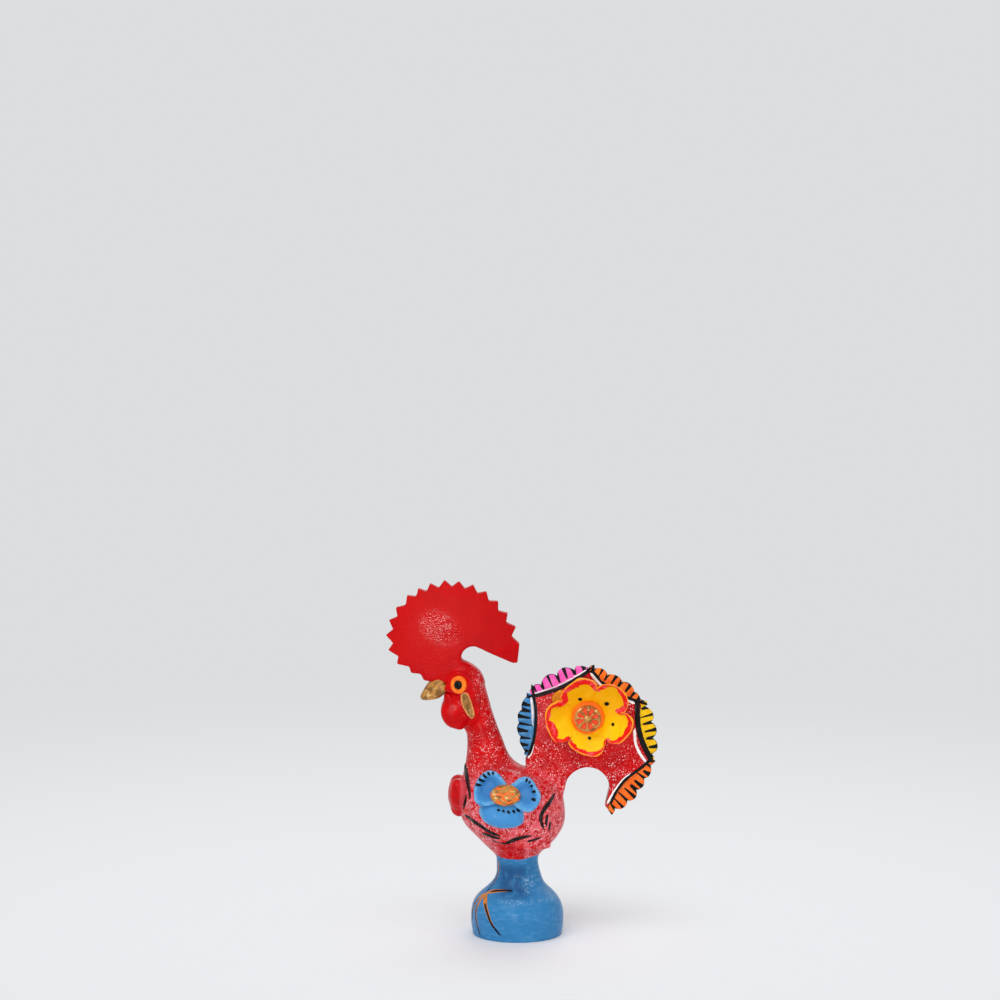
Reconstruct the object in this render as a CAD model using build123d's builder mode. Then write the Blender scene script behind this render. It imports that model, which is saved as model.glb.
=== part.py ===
from build123d import *
import os
from math import cos, hypot, radians, sin

os.makedirs("parts", exist_ok=True)

# A painted rooster of Barcelos on a round foot, in millimetres. It faces -X with its left side
# towards -Y, up is +Z, and the origin is the centre of the ring that it stands on.
# A name that ends in share or shares holds fractions of the sizes that it is multiplied by.

# Fits between pieces
fit_clearance = 0.1
cut_overrun = 40.0
seam_overrun = 1.0

# Foot: a hollow bell with a spigot on top
foot_radius = 12.5
bulge_radius = 12.8
bulge_height = 5.6
waist_radius = 5.35
waist_height = 19.0
foot_height = 21.0
foot_wall = 2.4
hollow_height = 16.0
vent_radius = 1.6
spigot_radius = 3.4
spigot_height = 3.0
bell_pull_shares = (0.55, 0.50)

# Body: belly, neck and head in one smooth form, a shell round the belly
body_height = 56.2
body_length = 30.0
body_width = 23.8
body_wall = 2.2
oval_pull_share = 0.552
# Level ovals from the foot seam to the crown: height, front and rear over the body's height and
# length, and half width over half the body's width
body_oval_shares = (
    (0.046, 0.230, 0.228, 0.52),
    (0.098, 0.340, 0.337, 0.70),
    (0.153, 0.443, 0.420, 0.85),
    (0.217, 0.520, 0.463, 0.95),
    (0.294, 0.533, 0.457, 1.00),
    (0.365, 0.530, 0.433, 0.965),
    (0.427, 0.507, 0.300, 0.83),
    (0.480, 0.484, 0.020, 0.63),
    (0.534, 0.470, -0.080, 0.48),
    (0.605, 0.467, -0.137, 0.40),
    (0.694, 0.500, -0.200, 0.38),
    (0.783, 0.570, -0.250, 0.41),
    (0.854, 0.635, -0.287, 0.45),
    (0.907, 0.663, -0.313, 0.44),
    (0.954, 0.650, -0.353, 0.36),
    (0.986, 0.615, -0.427, 0.24),
    (1.000, 0.583, -0.487, 0.12),
)
belly_hollow_rows = slice(1, 8)

# Comb: a toothed lens on the crown, hooked at the back
comb_radius = 19.2
comb_tooth = 1.7
comb_middle_thickness = 6.4
comb_rim_thickness = 1.9
comb_place_shares = (-0.603, 0.213)
comb_front_tooth_angles = (229, 213, 197, 183, 170, 157, 145, 131, 120)
comb_rear_tooth_angles = (109, 96.5, 84, 71.5, 58.5, 45, 31.5, 17.5, 2.5)
comb_front_reach_shares = (0.65, 0.72, 0.84, 0.93, 0.98, 1.0, 1.0, 1.0, 0.985)
comb_rear_reach_shares = (0.975, 0.975, 0.96, 0.955, 0.945, 0.935, 0.94, 0.965, 0.97)
comb_hook_shares = ((0.945, -0.235), (0.875, -0.235), (0.34, 0.02), (0.235, 0.01), (0.125, -0.17))
comb_root_shares = ((0.13, -0.40), (-0.10, -0.52), (-0.34, -0.50))
comb_tenon_shares = (0.07, -0.32)
comb_tenon_length = 4.0
comb_tenon_height = 4.0
comb_tenon_thickness = 2.2

# Beak: a drooping cone of ovals with a peg into the head
beak_length = 9.1
beak_height = 5.7
beak_width = 5.0
beak_droop = 21.7
beak_place_shares = (-0.617, 0.872)
beak_oval_shares = (
    (0.00, 0.00, 0.86, 0.94),
    (0.40, 0.16, 1.00, 1.00),
    (0.72, 0.155, 0.82, 0.78),
    (0.95, 0.06, 0.42, 0.42),
    (1.00, 0.03, 0.16, 0.20),
)
beak_peg_radius = 1.1
beak_peg_length = 1.4

# Wattles, ear lobes and eyes
wattle_height = 9.5
wattle_length = 7.6
wattle_thickness = 4.4
wattle_edge = 2.1
wattle_tilt = 6.0
wattle_place_shares = (-0.583, 0.751)
lobe_height = 8.0
lobe_length = 3.2
lobe_thickness = 1.1
lobe_edge = 0.45
lobe_tilt = 17.0
lobe_place_shares = (-0.463, 0.795)
eye_ring_radius = 2.55
eye_ring_height = 0.8
eye_ring_edge = 0.35
pupil_radius = 1.25
pupil_height = 0.55
pupil_depth = 1.5
eye_turn = 15.0
eye_place_shares = (-0.543, 0.900)
head_side_share = 0.43
neck_side_share = 0.36

# Heart on the breast
heart_height = 11.6
heart_width = 12.0
heart_thickness = 3.4
heart_edge_fall = 2.0
heart_place_shares = (-0.533, 0.320)
heart_lower_shares = ((0.0, -0.5), (0.34, -0.27), (0.55, 0.0), (0.5, 0.24))
heart_upper_shares = ((0.5, 0.24), (0.44, 0.56), (0.10, 0.56), (0.0, 0.34))

# Wings: low pads on the flanks that hang clear of the belly at their lower rear corner
wing_gap = 6.4
wing_oval_shares = (
    (0.030, 0.400, 0.360, 0.80),
    (0.090, 0.440, 0.400, 0.88),
    (0.153, 0.485, 0.445, 0.97),
    (0.217, 0.553, 0.490, 1.04),
    (0.294, 0.568, 0.490, 1.08),
    (0.365, 0.562, 0.465, 1.04),
    (0.427, 0.540, 0.345, 0.90),
    (0.480, 0.515, 0.070, 0.70),
    (0.534, 0.500, -0.040, 0.54),
)
wing_front_shares = ((-0.36, 0.488), (-0.455, 0.340), (-0.37, 0.170))
wing_lower_shares = ((-0.37, 0.170), (-0.05, 0.098), (0.315, 0.082))
wing_rear_shares = ((0.315, 0.082), (0.325, 0.230), (0.35, 0.375))
wing_upper_shares = ((0.35, 0.375), (0.06, 0.452), (-0.36, 0.488))

# Flowers on the flanks: three petals round an oval centre
bloom_place_shares = (-0.110, 0.379)
bloom_seat_share = 0.62
bloom_centre_tilt = 14.0
lower_petal_tilt = 3.0
upper_petal_tilt = 24.0
upper_petal_length = 8.8
upper_petal_width = 10.6
upper_petal_reach = 4.6
upper_petal_height = 6.9
upper_petal_edge = 0.9
petal_dish_radius = 7.5
petal_dish_depth = 1.3
front_petal_angle = 157.0
rear_petal_angle = 2.0
lower_petal_length = 11.8
lower_petal_width = 6.9
lower_petal_height = 6.9
lower_petal_corner = 3.0
lower_petal_edge = 1.7
lower_petal_reach = 6.0
lower_petal_shift_share = -0.07
bloom_centre_length = 8.2
bloom_centre_width = 5.9
bloom_centre_height = 8.4
bloom_centre_edge = 1.1

# Tail: a five-sided plate over an arch, with concave edges and a tenon into the rump
tail_length = 35.6
tail_height = 38.7
tail_middle_thickness = 7.2
tail_rim_thickness = 3.2
tail_root_shares = (0.067, 0.504)
corner_front_low_share = (0.0, 0.346)
corner_front_high_share = (0.073, 0.817)
corner_top_share = (0.531, 1.0)
corner_rear_high_share = (0.919, 0.752)
corner_rear_low_share = (1.0, 0.338)
tail_tip_share = (0.663, 0.0)
tail_thick_share = (0.28, 0.42)
edge_bows = (1.7, 0.6, 0.8, 1.8, 1.5)
arch_radius = 6.1
arch_place_shares = (0.508, 0.145)
arch_tip_shares = (0.645, 0.012)
rump_side_shares = (0.30, 0.02)
rump_low_shares = (0.12, 0.05)
tenon_place_shares = (0.15, 0.245)
tenon_length = 7.0
tenon_height = 11.0
tenon_thickness = 3.2

# Frills: pleated strips along the tail's five outer edges, each on a tongue
frill_thickness = 2.8
frill_reach = 4.4
pleat_width = 0.8
pleat_turn = 45.0
pleat_length_share = 0.8
scallop_depth = 0.7
tongue_thickness = 1.2
tongue_depth = 0.9
tongue_span_shares = (0.14, 0.86)
frill_names = ("front", "upper_front", "top", "rear", "lower")
frill_lobe_shares = (
    (0.36, 0.62, 0.75, 0.78, 0.60),
    (0.46, 0.88, 1.00, 0.76),
    (0.36, 0.54, 0.70, 0.60),
    (0.46, 0.68, 0.72, 0.54),
    (0.34, 0.66, 0.86, 0.90, 0.78, 0.52),
)

# Tail flowers: five cupped petals, a collar and a rosette on a stem
flower_place_shares = (0.508, 0.682)
flower_radius = 11.8
flower_cup_depth = 4.4
flower_petal_wall = 1.7
flower_lobe_radius = 5.3
petal_angles = (187, 266, 342, 38, 113)
petal_reach_shares = (0.55, 0.46, 0.55, 0.58, 0.54)
hub_radius = 3.0
collar_radius = 4.5
collar_height = 3.8
collar_edge = 0.5
rosette_radius = 3.65
rosette_height = 1.7
rosette_edge = 0.5
rosette_ray_count = 8
rosette_ray_width = 0.7
rosette_ray_depth = 0.5
rosette_button_radius = 1.2
peg_radius = 1.3
peg_length = 1.6
leaf_place_shares = (0.306, 0.799)
leaf_length = 6.0
leaf_width = 5.4
leaf_thickness = 1.4


def share_pair(shares, width, height):
    """The point whose two coordinates are shares of a width and a height."""
    return (shares[0] * width, shares[1] * height)


def on_body(shares):
    """A point on the side view of the body, as x and z."""
    x, rise = share_pair(shares, body_length, body_height)
    return (x, foot_height + rise)


def lens_radius(reach, fall):
    """The radius of a sphere whose surface falls by this much at this distance from its pole."""
    return (reach**2 + fall**2) / (2 * fall)


def oval_face(plane, front, rear, half_width):
    """A closed oval from x = -front to x = rear on a plane."""
    middle = (rear - front) / 2
    pull_x = oval_pull_share * (rear + front) / 2
    pull_y = oval_pull_share * half_width
    with BuildSketch(plane) as drawing:
        with BuildLine():
            Bezier((rear, 0), (rear, pull_y), (middle + pull_x, half_width), (middle, half_width))
            Bezier((middle, half_width), (middle - pull_x, half_width), (-front, pull_y), (-front, 0))
            Bezier((-front, 0), (-front, -pull_y), (middle - pull_x, -half_width), (middle, -half_width))
            Bezier((middle, -half_width), (middle + pull_x, -half_width), (rear, -pull_y), (rear, 0))
        make_face()
    return drawing.sketch


def level_ovals(rows, inset):
    """The faces of a table of level ovals, each drawn in by an inset."""
    faces = []
    for height_share, front_share, rear_share, width_share in rows:
        faces.append(
            oval_face(
                Plane.XY.offset(foot_height + height_share * body_height),
                front_share * body_length - inset,
                rear_share * body_length - inset,
                width_share * body_width / 2 - inset,
            )
        )
    return faces


def tenon_block(plane, spot, length, height, thickness):
    """A block about a spot of a plane, for a tenon or for the socket that takes it."""
    with BuildPart() as block:
        with BuildSketch(plane):
            with Locations(spot):
                Rectangle(length, height)
        extrude(amount=thickness / 2, both=True)
    return block.part


def save(name, block):
    """Label a finished piece and write it to its own file."""
    block.part.label = name
    export_step(block.part, f"parts/{name}.step")


def save_pair(name, block):
    """Write a piece of the left side, and its mirror image for the right side."""
    save(f"left_{name}", block)
    with BuildPart() as twin:
        mirror(block.part, about=Plane.XZ)
    save(f"right_{name}", twin)


# Body form, which the body's halves are cut from and every piece on the body is fitted to
with BuildPart() as body_form:
    foot_seam = oval_face(Plane.XY.offset(foot_height), waist_radius, waist_radius, waist_radius)
    loft([foot_seam] + level_ovals(body_oval_shares, 0))

# Foot
bell_low, bell_high = (bulge_height + share * (waist_height - bulge_height) for share in bell_pull_shares)
hollow_radius = foot_radius - foot_wall
with BuildPart() as foot:
    with BuildSketch(Plane.XZ):
        with BuildLine():
            Line((0, 0), (foot_radius, 0))
            Bezier((foot_radius, 0), (bulge_radius, bulge_height / 2), (bulge_radius, bulge_height))
            Bezier(
                (bulge_radius, bulge_height),
                (bulge_radius, bell_low),
                (waist_radius, bell_high),
                (waist_radius, waist_height),
            )
            Polyline((waist_radius, waist_height), (waist_radius, foot_height), (0, foot_height), (0, 0))
        make_face()
    revolve(axis=Axis.Z)
    with BuildSketch(Plane.XY.offset(foot_height)):
        Circle(spigot_radius)
    extrude(amount=spigot_height)
    with BuildSketch(Plane.XZ):
        with BuildLine():
            Polyline((0, hollow_height), (0, 0), (hollow_radius, 0), (hollow_radius, bulge_height))
            Bezier(
                (hollow_radius, bulge_height),
                (hollow_radius, bell_low),
                (vent_radius, bell_high),
                (vent_radius, hollow_height),
            )
            Line((vent_radius, hollow_height), (0, hollow_height))
        make_face()
    revolve(axis=Axis.Z, mode=Mode.SUBTRACT)
    with BuildSketch(Plane.XY):
        Circle(vent_radius)
    extrude(amount=foot_height + spigot_height, mode=Mode.SUBTRACT)
save("foot", foot)

# Places on the body
comb_x = comb_place_shares[0] * body_length
comb_z = foot_height + body_height + comb_place_shares[1] * comb_radius
beak_x, beak_z = on_body(beak_place_shares)
beak_forward = (-cos(radians(beak_droop)), -sin(radians(beak_droop)))
beak_upward = (-sin(radians(beak_droop)), cos(radians(beak_droop)))
eye_x, eye_z = on_body(eye_place_shares)
eye_plane = Plane(
    origin=(eye_x, -head_side_share * body_width / 2, eye_z),
    x_dir=(cos(radians(eye_turn)), -sin(radians(eye_turn)), 0),
    z_dir=(-sin(radians(eye_turn)), -cos(radians(eye_turn)), 0),
)
tail_x, tail_z = on_body(tail_root_shares)
tail_z = tail_z - corner_front_low_share[1] * tail_height
tenon_spot = share_pair(tenon_place_shares, tail_length, tail_height)

# Comb
comb_fall = (comb_middle_thickness - comb_rim_thickness) / 2
comb_lens = lens_radius(comb_radius, comb_fall)
comb_plane = Plane(origin=(comb_x, 0, comb_z), x_dir=(1, 0, 0), z_dir=(0, -1, 0))
comb_tooth_angles = comb_front_tooth_angles + comb_rear_tooth_angles
comb_reach_shares = comb_front_reach_shares + comb_rear_reach_shares
comb_tips = [
    (reach * comb_radius * cos(radians(angle)), reach * comb_radius * sin(radians(angle)))
    for angle, reach in zip(comb_tooth_angles, comb_reach_shares)
]
comb_edge = [comb_tips[0]]
for tip, next_tip in zip(comb_tips, comb_tips[1:]):
    middle = ((tip[0] + next_tip[0]) / 2, (tip[1] + next_tip[1]) / 2)
    keep_share = 1 - comb_tooth / hypot(*middle)
    comb_edge += [(middle[0] * keep_share, middle[1] * keep_share), next_tip]
hook = [share_pair(shares, comb_radius, comb_radius) for shares in comb_hook_shares]
comb_root = [share_pair(shares, comb_radius, comb_radius) for shares in comb_root_shares]
comb_tenon_spot = share_pair(comb_tenon_shares, comb_radius, comb_radius)
comb_tenon = tenon_block(
    comb_plane,
    comb_tenon_spot,
    comb_tenon_length,
    comb_tenon_height,
    comb_tenon_thickness,
)
comb_socket = tenon_block(
    comb_plane,
    comb_tenon_spot,
    comb_tenon_length + 2 * fit_clearance,
    comb_tenon_height + 2 * fit_clearance,
    comb_tenon_thickness + 2 * fit_clearance,
)

# Beak
beak_planes = [
    Plane(
        origin=(
            beak_x + along * beak_length * beak_forward[0] + rise * beak_height * beak_upward[0],
            0,
            beak_z + along * beak_length * beak_forward[1] + rise * beak_height * beak_upward[1],
        ),
        x_dir=(0, 1, 0),
        z_dir=(beak_forward[0], 0, beak_forward[1]),
    )
    for along, rise, tall, wide in beak_oval_shares
]
beak_sizes = [
    (tall * beak_height / 2, wide * beak_width / 2)
    for along, rise, tall, wide in beak_oval_shares
]
with BuildPart() as beak:
    loft([oval_face(plane, wide, wide, tall) for plane, (tall, wide) in zip(beak_planes, beak_sizes)])
    add(body_form.part, mode=Mode.SUBTRACT)
    with BuildSketch(beak_planes[1]):
        Circle(beak_peg_radius)
    extrude(amount=-(beak_oval_shares[1][0] * beak_length + beak_peg_length))
save("beak", beak)
with BuildPart() as beak_socket:
    with BuildSketch(beak_planes[1]):
        Circle(beak_peg_radius + fit_clearance)
    extrude(amount=-(beak_oval_shares[1][0] * beak_length + beak_peg_length + fit_clearance))

with BuildPart() as comb:
    with BuildSketch(comb_plane):
        with BuildLine():
            Polyline(*comb_edge, hook[0], hook[1], hook[2])
            ThreePointArc(hook[2], hook[3], hook[4])
            Polyline(hook[4], *comb_root, comb_edge[0])
        make_face()
    extrude(amount=comb_middle_thickness, both=True)
    for side in (1, -1):
        with Locations((comb_x, side * (comb_lens - comb_middle_thickness / 2), comb_z)):
            Sphere(comb_lens, mode=Mode.INTERSECT)
    add(body_form.part, mode=Mode.SUBTRACT)
    add(beak.part, mode=Mode.SUBTRACT)
    add(comb_tenon)
save("comb", comb)

# Eyes, the pupil's shank passing through its ring into the head
with BuildPart() as eye_ring:
    with BuildSketch(eye_plane.offset(-eye_ring_radius)):
        Circle(eye_ring_radius)
    extrude(amount=eye_ring_radius + eye_ring_height)
    fillet(eye_ring.faces().sort_by(Axis.Y)[0].edges(), eye_ring_edge)
    with BuildSketch(eye_plane.offset(-eye_ring_radius)):
        Circle(pupil_radius)
    extrude(amount=2 * eye_ring_radius, mode=Mode.SUBTRACT)
    add(body_form.part, mode=Mode.SUBTRACT)
save_pair("eye_ring", eye_ring)

with BuildPart() as pupil:
    with BuildSketch(eye_plane.offset(-pupil_depth)):
        Circle(pupil_radius - fit_clearance / 2)
    extrude(amount=pupil_depth + eye_ring_height + pupil_height)
    fillet(pupil.faces().sort_by(Axis.Y)[0].edges(), pupil_height)
save_pair("pupil", pupil)
with BuildPart() as pupil_socket:
    with BuildSketch(eye_plane.offset(-pupil_depth - fit_clearance / 2)):
        Circle(pupil_radius)
    extrude(amount=2 * pupil_depth)

# Wattles, one on each side of the throat
wattle_x, wattle_z = on_body(wattle_place_shares)
with BuildPart() as wattle:
    with BuildSketch(Plane(origin=(wattle_x, 0, wattle_z), x_dir=(1, 0, 0), z_dir=(0, -1, 0))):
        Ellipse(wattle_length / 2, wattle_height / 2, rotation=wattle_tilt)
    extrude(amount=wattle_thickness)
    fillet(wattle.faces().sort_by(Axis.Y)[0].edges(), wattle_edge)
    add(body_form.part, mode=Mode.SUBTRACT)
    add(beak.part, mode=Mode.SUBTRACT)
save_pair("wattle", wattle)

# Ear lobes, which overlap the rear edge of the wattles
lobe_x, lobe_z = on_body(lobe_place_shares)
lobe_face = neck_side_share * body_width / 2 + lobe_thickness
with BuildPart() as ear_lobe:
    with BuildSketch(Plane(origin=(lobe_x, 0, lobe_z), x_dir=(1, 0, 0), z_dir=(0, -1, 0))):
        Ellipse(lobe_length / 2, lobe_height / 2, rotation=lobe_tilt)
    extrude(amount=lobe_face)
    fillet(ear_lobe.faces().sort_by(Axis.Y)[0].edges(), lobe_edge)
    add(body_form.part, mode=Mode.SUBTRACT)
    add(wattle.part, mode=Mode.SUBTRACT)
    add(eye_ring.part, mode=Mode.SUBTRACT)
save_pair("ear_lobe", ear_lobe)

# Heart on the breast
heart_x, heart_z = on_body(heart_place_shares)
heart_lens = lens_radius(heart_height / 2, heart_edge_fall)
heart_lower = [share_pair(shares, heart_width, heart_height) for shares in heart_lower_shares]
heart_upper = [share_pair(shares, heart_width, heart_height) for shares in heart_upper_shares]
with BuildPart() as breast_heart:
    with BuildSketch(Plane(origin=(heart_x, 0, heart_z), x_dir=(0, -1, 0), z_dir=(-1, 0, 0))):
        with BuildLine():
            Bezier(*heart_lower)
            Bezier(*heart_upper)
            mirror(about=Plane.YZ)
        make_face()
    extrude(amount=heart_thickness)
    extrude(breast_heart.faces().sort_by(Axis.X)[-1], amount=heart_width / 2)
    with Locations((heart_x - heart_thickness + heart_lens, 0, heart_z)):
        Sphere(heart_lens, mode=Mode.INTERSECT)
    add(body_form.part, mode=Mode.SUBTRACT)
save("breast_heart", breast_heart)

# Wings
side_plane = Plane(origin=(0, 0, foot_height), x_dir=(1, 0, 0), z_dir=(0, -1, 0))
wing_edges = (wing_front_shares, wing_lower_shares, wing_rear_shares, wing_upper_shares)
with BuildPart() as wing_form:
    loft(level_ovals(wing_oval_shares, 0))
with BuildPart() as wing:
    with BuildSketch(side_plane.offset(wing_gap)):
        with BuildLine():
            for edge in wing_edges:
                ThreePointArc(*(share_pair(shares, body_length, body_height) for shares in edge))
        make_face()
    extrude(amount=cut_overrun)
    add(wing_form.part, mode=Mode.INTERSECT)
    add(body_form.part, mode=Mode.SUBTRACT)
save_pair("wing", wing)

# Flank flowers, whose petals are fitted to the wing and to the body. Each plane is lowered by what
# its tilt lifts the outer faces, so that these faces centre on one spot of the side view.
bloom_x, bloom_z = on_body(bloom_place_shares)
centre_plane, lower_plane, upper_plane = (
    Plane(
        origin=(bloom_x, -bloom_seat_share * body_width / 2, bloom_z - height * sin(radians(tilt))),
        x_dir=(1, 0, 0),
        z_dir=(0, -cos(radians(tilt)), sin(radians(tilt))),
    )
    for tilt, height in (
        (bloom_centre_tilt, bloom_centre_height),
        (lower_petal_tilt, lower_petal_height),
        (upper_petal_tilt, upper_petal_height),
    )
)
with BuildPart() as bloom_centre:
    with BuildSketch(centre_plane):
        Ellipse(bloom_centre_length / 2, bloom_centre_width / 2)
    extrude(amount=bloom_centre_height)
    fillet(bloom_centre.faces().sort_by(Axis.Y)[0].edges(), bloom_centre_edge)
    add(body_form.part, mode=Mode.SUBTRACT)
    add(wing.part, mode=Mode.SUBTRACT)
save_pair("flank_centre", bloom_centre)

with BuildPart() as lower_petal:
    with BuildSketch(lower_plane):
        with Locations((lower_petal_shift_share * lower_petal_length, -lower_petal_reach)):
            RectangleRounded(lower_petal_length, lower_petal_width, lower_petal_corner)
    extrude(amount=lower_petal_height)
    fillet(lower_petal.faces().sort_by(Axis.Y)[0].edges(), lower_petal_edge)
    add(body_form.part, mode=Mode.SUBTRACT)
    add(wing.part, mode=Mode.SUBTRACT)
    add(bloom_centre.part, mode=Mode.SUBTRACT)
save_pair("flank_petal_lower", lower_petal)

for petal_name, petal_angle in (("front", front_petal_angle), ("rear", rear_petal_angle)):
    petal_x = upper_petal_reach * cos(radians(petal_angle))
    petal_y = upper_petal_reach * sin(radians(petal_angle))
    with BuildPart() as upper_petal:
        with BuildSketch(upper_plane):
            with Locations((petal_x, petal_y)):
                Ellipse(upper_petal_length / 2, upper_petal_width / 2, rotation=petal_angle)
        extrude(amount=upper_petal_height)
        fillet(upper_petal.faces().sort_by(Axis.Y)[0].edges(), upper_petal_edge)
        dish_height = upper_petal_height + petal_dish_radius - petal_dish_depth
        with Locations(upper_plane.offset(dish_height).location * Location((petal_x, petal_y, 0))):
            Sphere(petal_dish_radius, mode=Mode.SUBTRACT)
        add(body_form.part, mode=Mode.SUBTRACT)
        add(wing.part, mode=Mode.SUBTRACT)
        add(bloom_centre.part, mode=Mode.SUBTRACT)
        add(lower_petal.part, mode=Mode.SUBTRACT)
    save_pair(f"flank_petal_{petal_name}", upper_petal)

# Tail plate
tail_plane = Plane(origin=(tail_x, 0, tail_z), x_dir=(1, 0, 0), z_dir=(0, -1, 0))
corner_shares = (
    corner_front_low_share,
    corner_front_high_share,
    corner_top_share,
    corner_rear_high_share,
    corner_rear_low_share,
    tail_tip_share,
)
corners = [Vector(*share_pair(shares, tail_length, tail_height)) for shares in corner_shares]
tail_edges = list(zip(corners, corners[1:], edge_bows))


def inward(start, end):
    """The unit direction from a tail edge into the plate."""
    along = (end - start).normalized()
    return Vector(along.Y, -along.X)


def edge_piece(start, end, bow, first_share, last_share):
    """Three control points of the part of a bowed tail edge between two shares of its length."""
    control = (start + end) / 2 + inward(start, end) * 2 * bow

    def blend(s, t):
        return start * (1 - s) * (1 - t) + control * (s * (1 - t) + t * (1 - s)) + end * s * t

    return blend(first_share, first_share), blend(first_share, last_share), blend(last_share, last_share)


def tongue_solid(start, end, bow, slack):
    """A tongue inside a bowed tail edge, or with slack the groove that it sits in."""
    edge = edge_piece(start, end, bow, *tongue_span_shares)
    along = (edge[2] - edge[0]).normalized()
    shift = inward(start, end) * (tongue_depth + slack)
    mouth = inward(start, end) * slack
    outer = [edge[0] - along * slack - mouth, edge[1] - mouth, edge[2] + along * slack - mouth]
    inner = [point + mouth + shift for point in outer]
    with BuildPart() as block:
        with BuildSketch(tail_plane):
            with BuildLine():
                Bezier(*outer)
                Line(outer[2], inner[2])
                Bezier(*reversed(inner))
                Line(inner[0], outer[0])
            make_face()
        extrude(amount=tongue_thickness / 2 + slack, both=True)
    return block.part


flower_x, flower_z = share_pair(flower_place_shares, tail_length, tail_height)
arch_centre = Vector(*share_pair(arch_place_shares, tail_length, tail_height))
arch_tip = Vector(*share_pair(arch_tip_shares, tail_length, tail_height))
rump_side = Vector(*share_pair(rump_side_shares, tail_length, tail_height))
rump_low = Vector(*share_pair(rump_low_shares, tail_length, tail_height))
tail_thick_spot = share_pair(tail_thick_share, tail_length, tail_height)
tail_fall = (tail_middle_thickness - tail_rim_thickness) / 2
tail_lens_reach = (corners[2] - Vector(*tail_thick_spot)).length
tail_lens = lens_radius(tail_lens_reach, tail_fall)
with BuildPart() as tail_form:
    with BuildSketch(tail_plane):
        with BuildLine():
            for start, end, bow in tail_edges:
                Bezier(*edge_piece(start, end, bow, 0, 1))
            Line(corners[5], arch_tip)
            Line(arch_tip, arch_centre + Vector(arch_radius, 0))
            ThreePointArc(
                arch_centre + Vector(arch_radius, 0),
                arch_centre + Vector(0, arch_radius),
                arch_centre - Vector(arch_radius, 0),
            )
            Polyline(arch_centre - Vector(arch_radius, 0), rump_side, rump_low, corners[0])
        make_face()
    extrude(amount=tail_middle_thickness, both=True)
    for side in (1, -1):
        with Locations(tail_plane.offset(side * (tail_lens - tail_middle_thickness / 2)).location
                       * Location((tail_thick_spot[0], tail_thick_spot[1], 0))):
            Sphere(tail_lens, mode=Mode.INTERSECT)
    add(body_form.part, mode=Mode.SUBTRACT)
tail_tenon = tenon_block(tail_plane, tenon_spot, tenon_length, tenon_height, tenon_thickness)
tail_socket = tenon_block(
    tail_plane,
    tenon_spot,
    tenon_length + 2 * fit_clearance,
    tenon_height + 2 * fit_clearance,
    tenon_thickness + 2 * fit_clearance,
)
with BuildPart() as tail_plate:
    add(tail_form.part)
    add(tail_tenon)
    for start, end, bow in tail_edges:
        add(tongue_solid(start, end, bow, fit_clearance), mode=Mode.SUBTRACT)
    with BuildSketch(tail_plane):
        with Locations((flower_x, flower_z)):
            Circle(peg_radius + fit_clearance)
    extrude(amount=tail_middle_thickness, both=True, mode=Mode.SUBTRACT)
save("tail_plate", tail_plate)

# Frills
for frill_name, (start, end, bow), lobe_shares in zip(frill_names, tail_edges, frill_lobe_shares):
    outward = -inward(start, end)
    step = (end - start) / len(lobe_shares)
    tips = [
        start + step * (i + 1 / 2) + outward * share * frill_reach
        for i, share in enumerate(lobe_shares)
    ]
    notches = [start]
    for tip, next_tip in zip(tips, tips[1:]):
        notches.append((tip + next_tip) / 2 - outward * scallop_depth)
    notches.append(end)
    with BuildPart() as frill:
        with BuildSketch(tail_plane):
            with BuildLine():
                for low, tip, high in zip(notches, tips, notches[1:]):
                    ThreePointArc(low, tip, high)
                Bezier(*edge_piece(start, end, bow, 0, 1))
            make_face()
        extrude(amount=frill_thickness / 2, both=True)
        for face_height in (frill_thickness / 2, -frill_thickness / 2):
            for i, notch in enumerate(notches[1:-1]):
                foot_point = start + step * (i + 1)
                run = (foot_point - notch) * pleat_length_share
                pleat_plane = Plane(
                    origin=tail_plane.from_local_coords((notch.X, notch.Y, face_height)),
                    x_dir=(0, 1, 0),
                    z_dir=(run.X, 0, run.Y),
                )
                with BuildSketch(pleat_plane.offset(-seam_overrun)):
                    Rectangle(pleat_width, pleat_width, rotation=pleat_turn)
                extrude(amount=run.length + seam_overrun, mode=Mode.SUBTRACT)
        add(tongue_solid(start, end, bow, 0))
    save(f"tail_frill_{frill_name}", frill)

# Tail flowers, on the left face of the plate
cup_radius = lens_radius(flower_radius, flower_cup_depth)
flower_off_centre = hypot(flower_x - tail_thick_spot[0], flower_z - tail_thick_spot[1])
flower_seat = tail_middle_thickness / 2 - tail_fall * (flower_off_centre / tail_lens_reach) ** 2
seat_plane = tail_plane.offset(flower_seat)
flower_plane = Plane(
    origin=seat_plane.from_local_coords((flower_x, flower_z, 0)), x_dir=(1, 0, 0), z_dir=(0, -1, 0)
)
with BuildPart() as rosette:
    with BuildSketch(flower_plane.offset(-seam_overrun)):
        Circle(hub_radius - fit_clearance)
    extrude(amount=collar_height + seam_overrun)
    add(tail_form.part, mode=Mode.SUBTRACT)
    with BuildSketch(flower_plane.offset(-peg_length)):
        Circle(peg_radius)
    extrude(amount=peg_length + seam_overrun)
    with BuildSketch(flower_plane.offset(collar_height)):
        Circle(rosette_radius)
    extrude(amount=rosette_height)
    fillet(rosette.faces().sort_by(Axis.Y)[0].edges(), rosette_edge)
    with Locations(flower_plane.offset(collar_height + rosette_height).location):
        with PolarLocations((rosette_button_radius + rosette_radius) / 2, rosette_ray_count):
            Box(
                rosette_radius - rosette_button_radius,
                rosette_ray_width,
                2 * rosette_ray_depth,
                mode=Mode.SUBTRACT,
            )
        Sphere(rosette_button_radius)
save_pair("tail_rosette", rosette)

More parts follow.
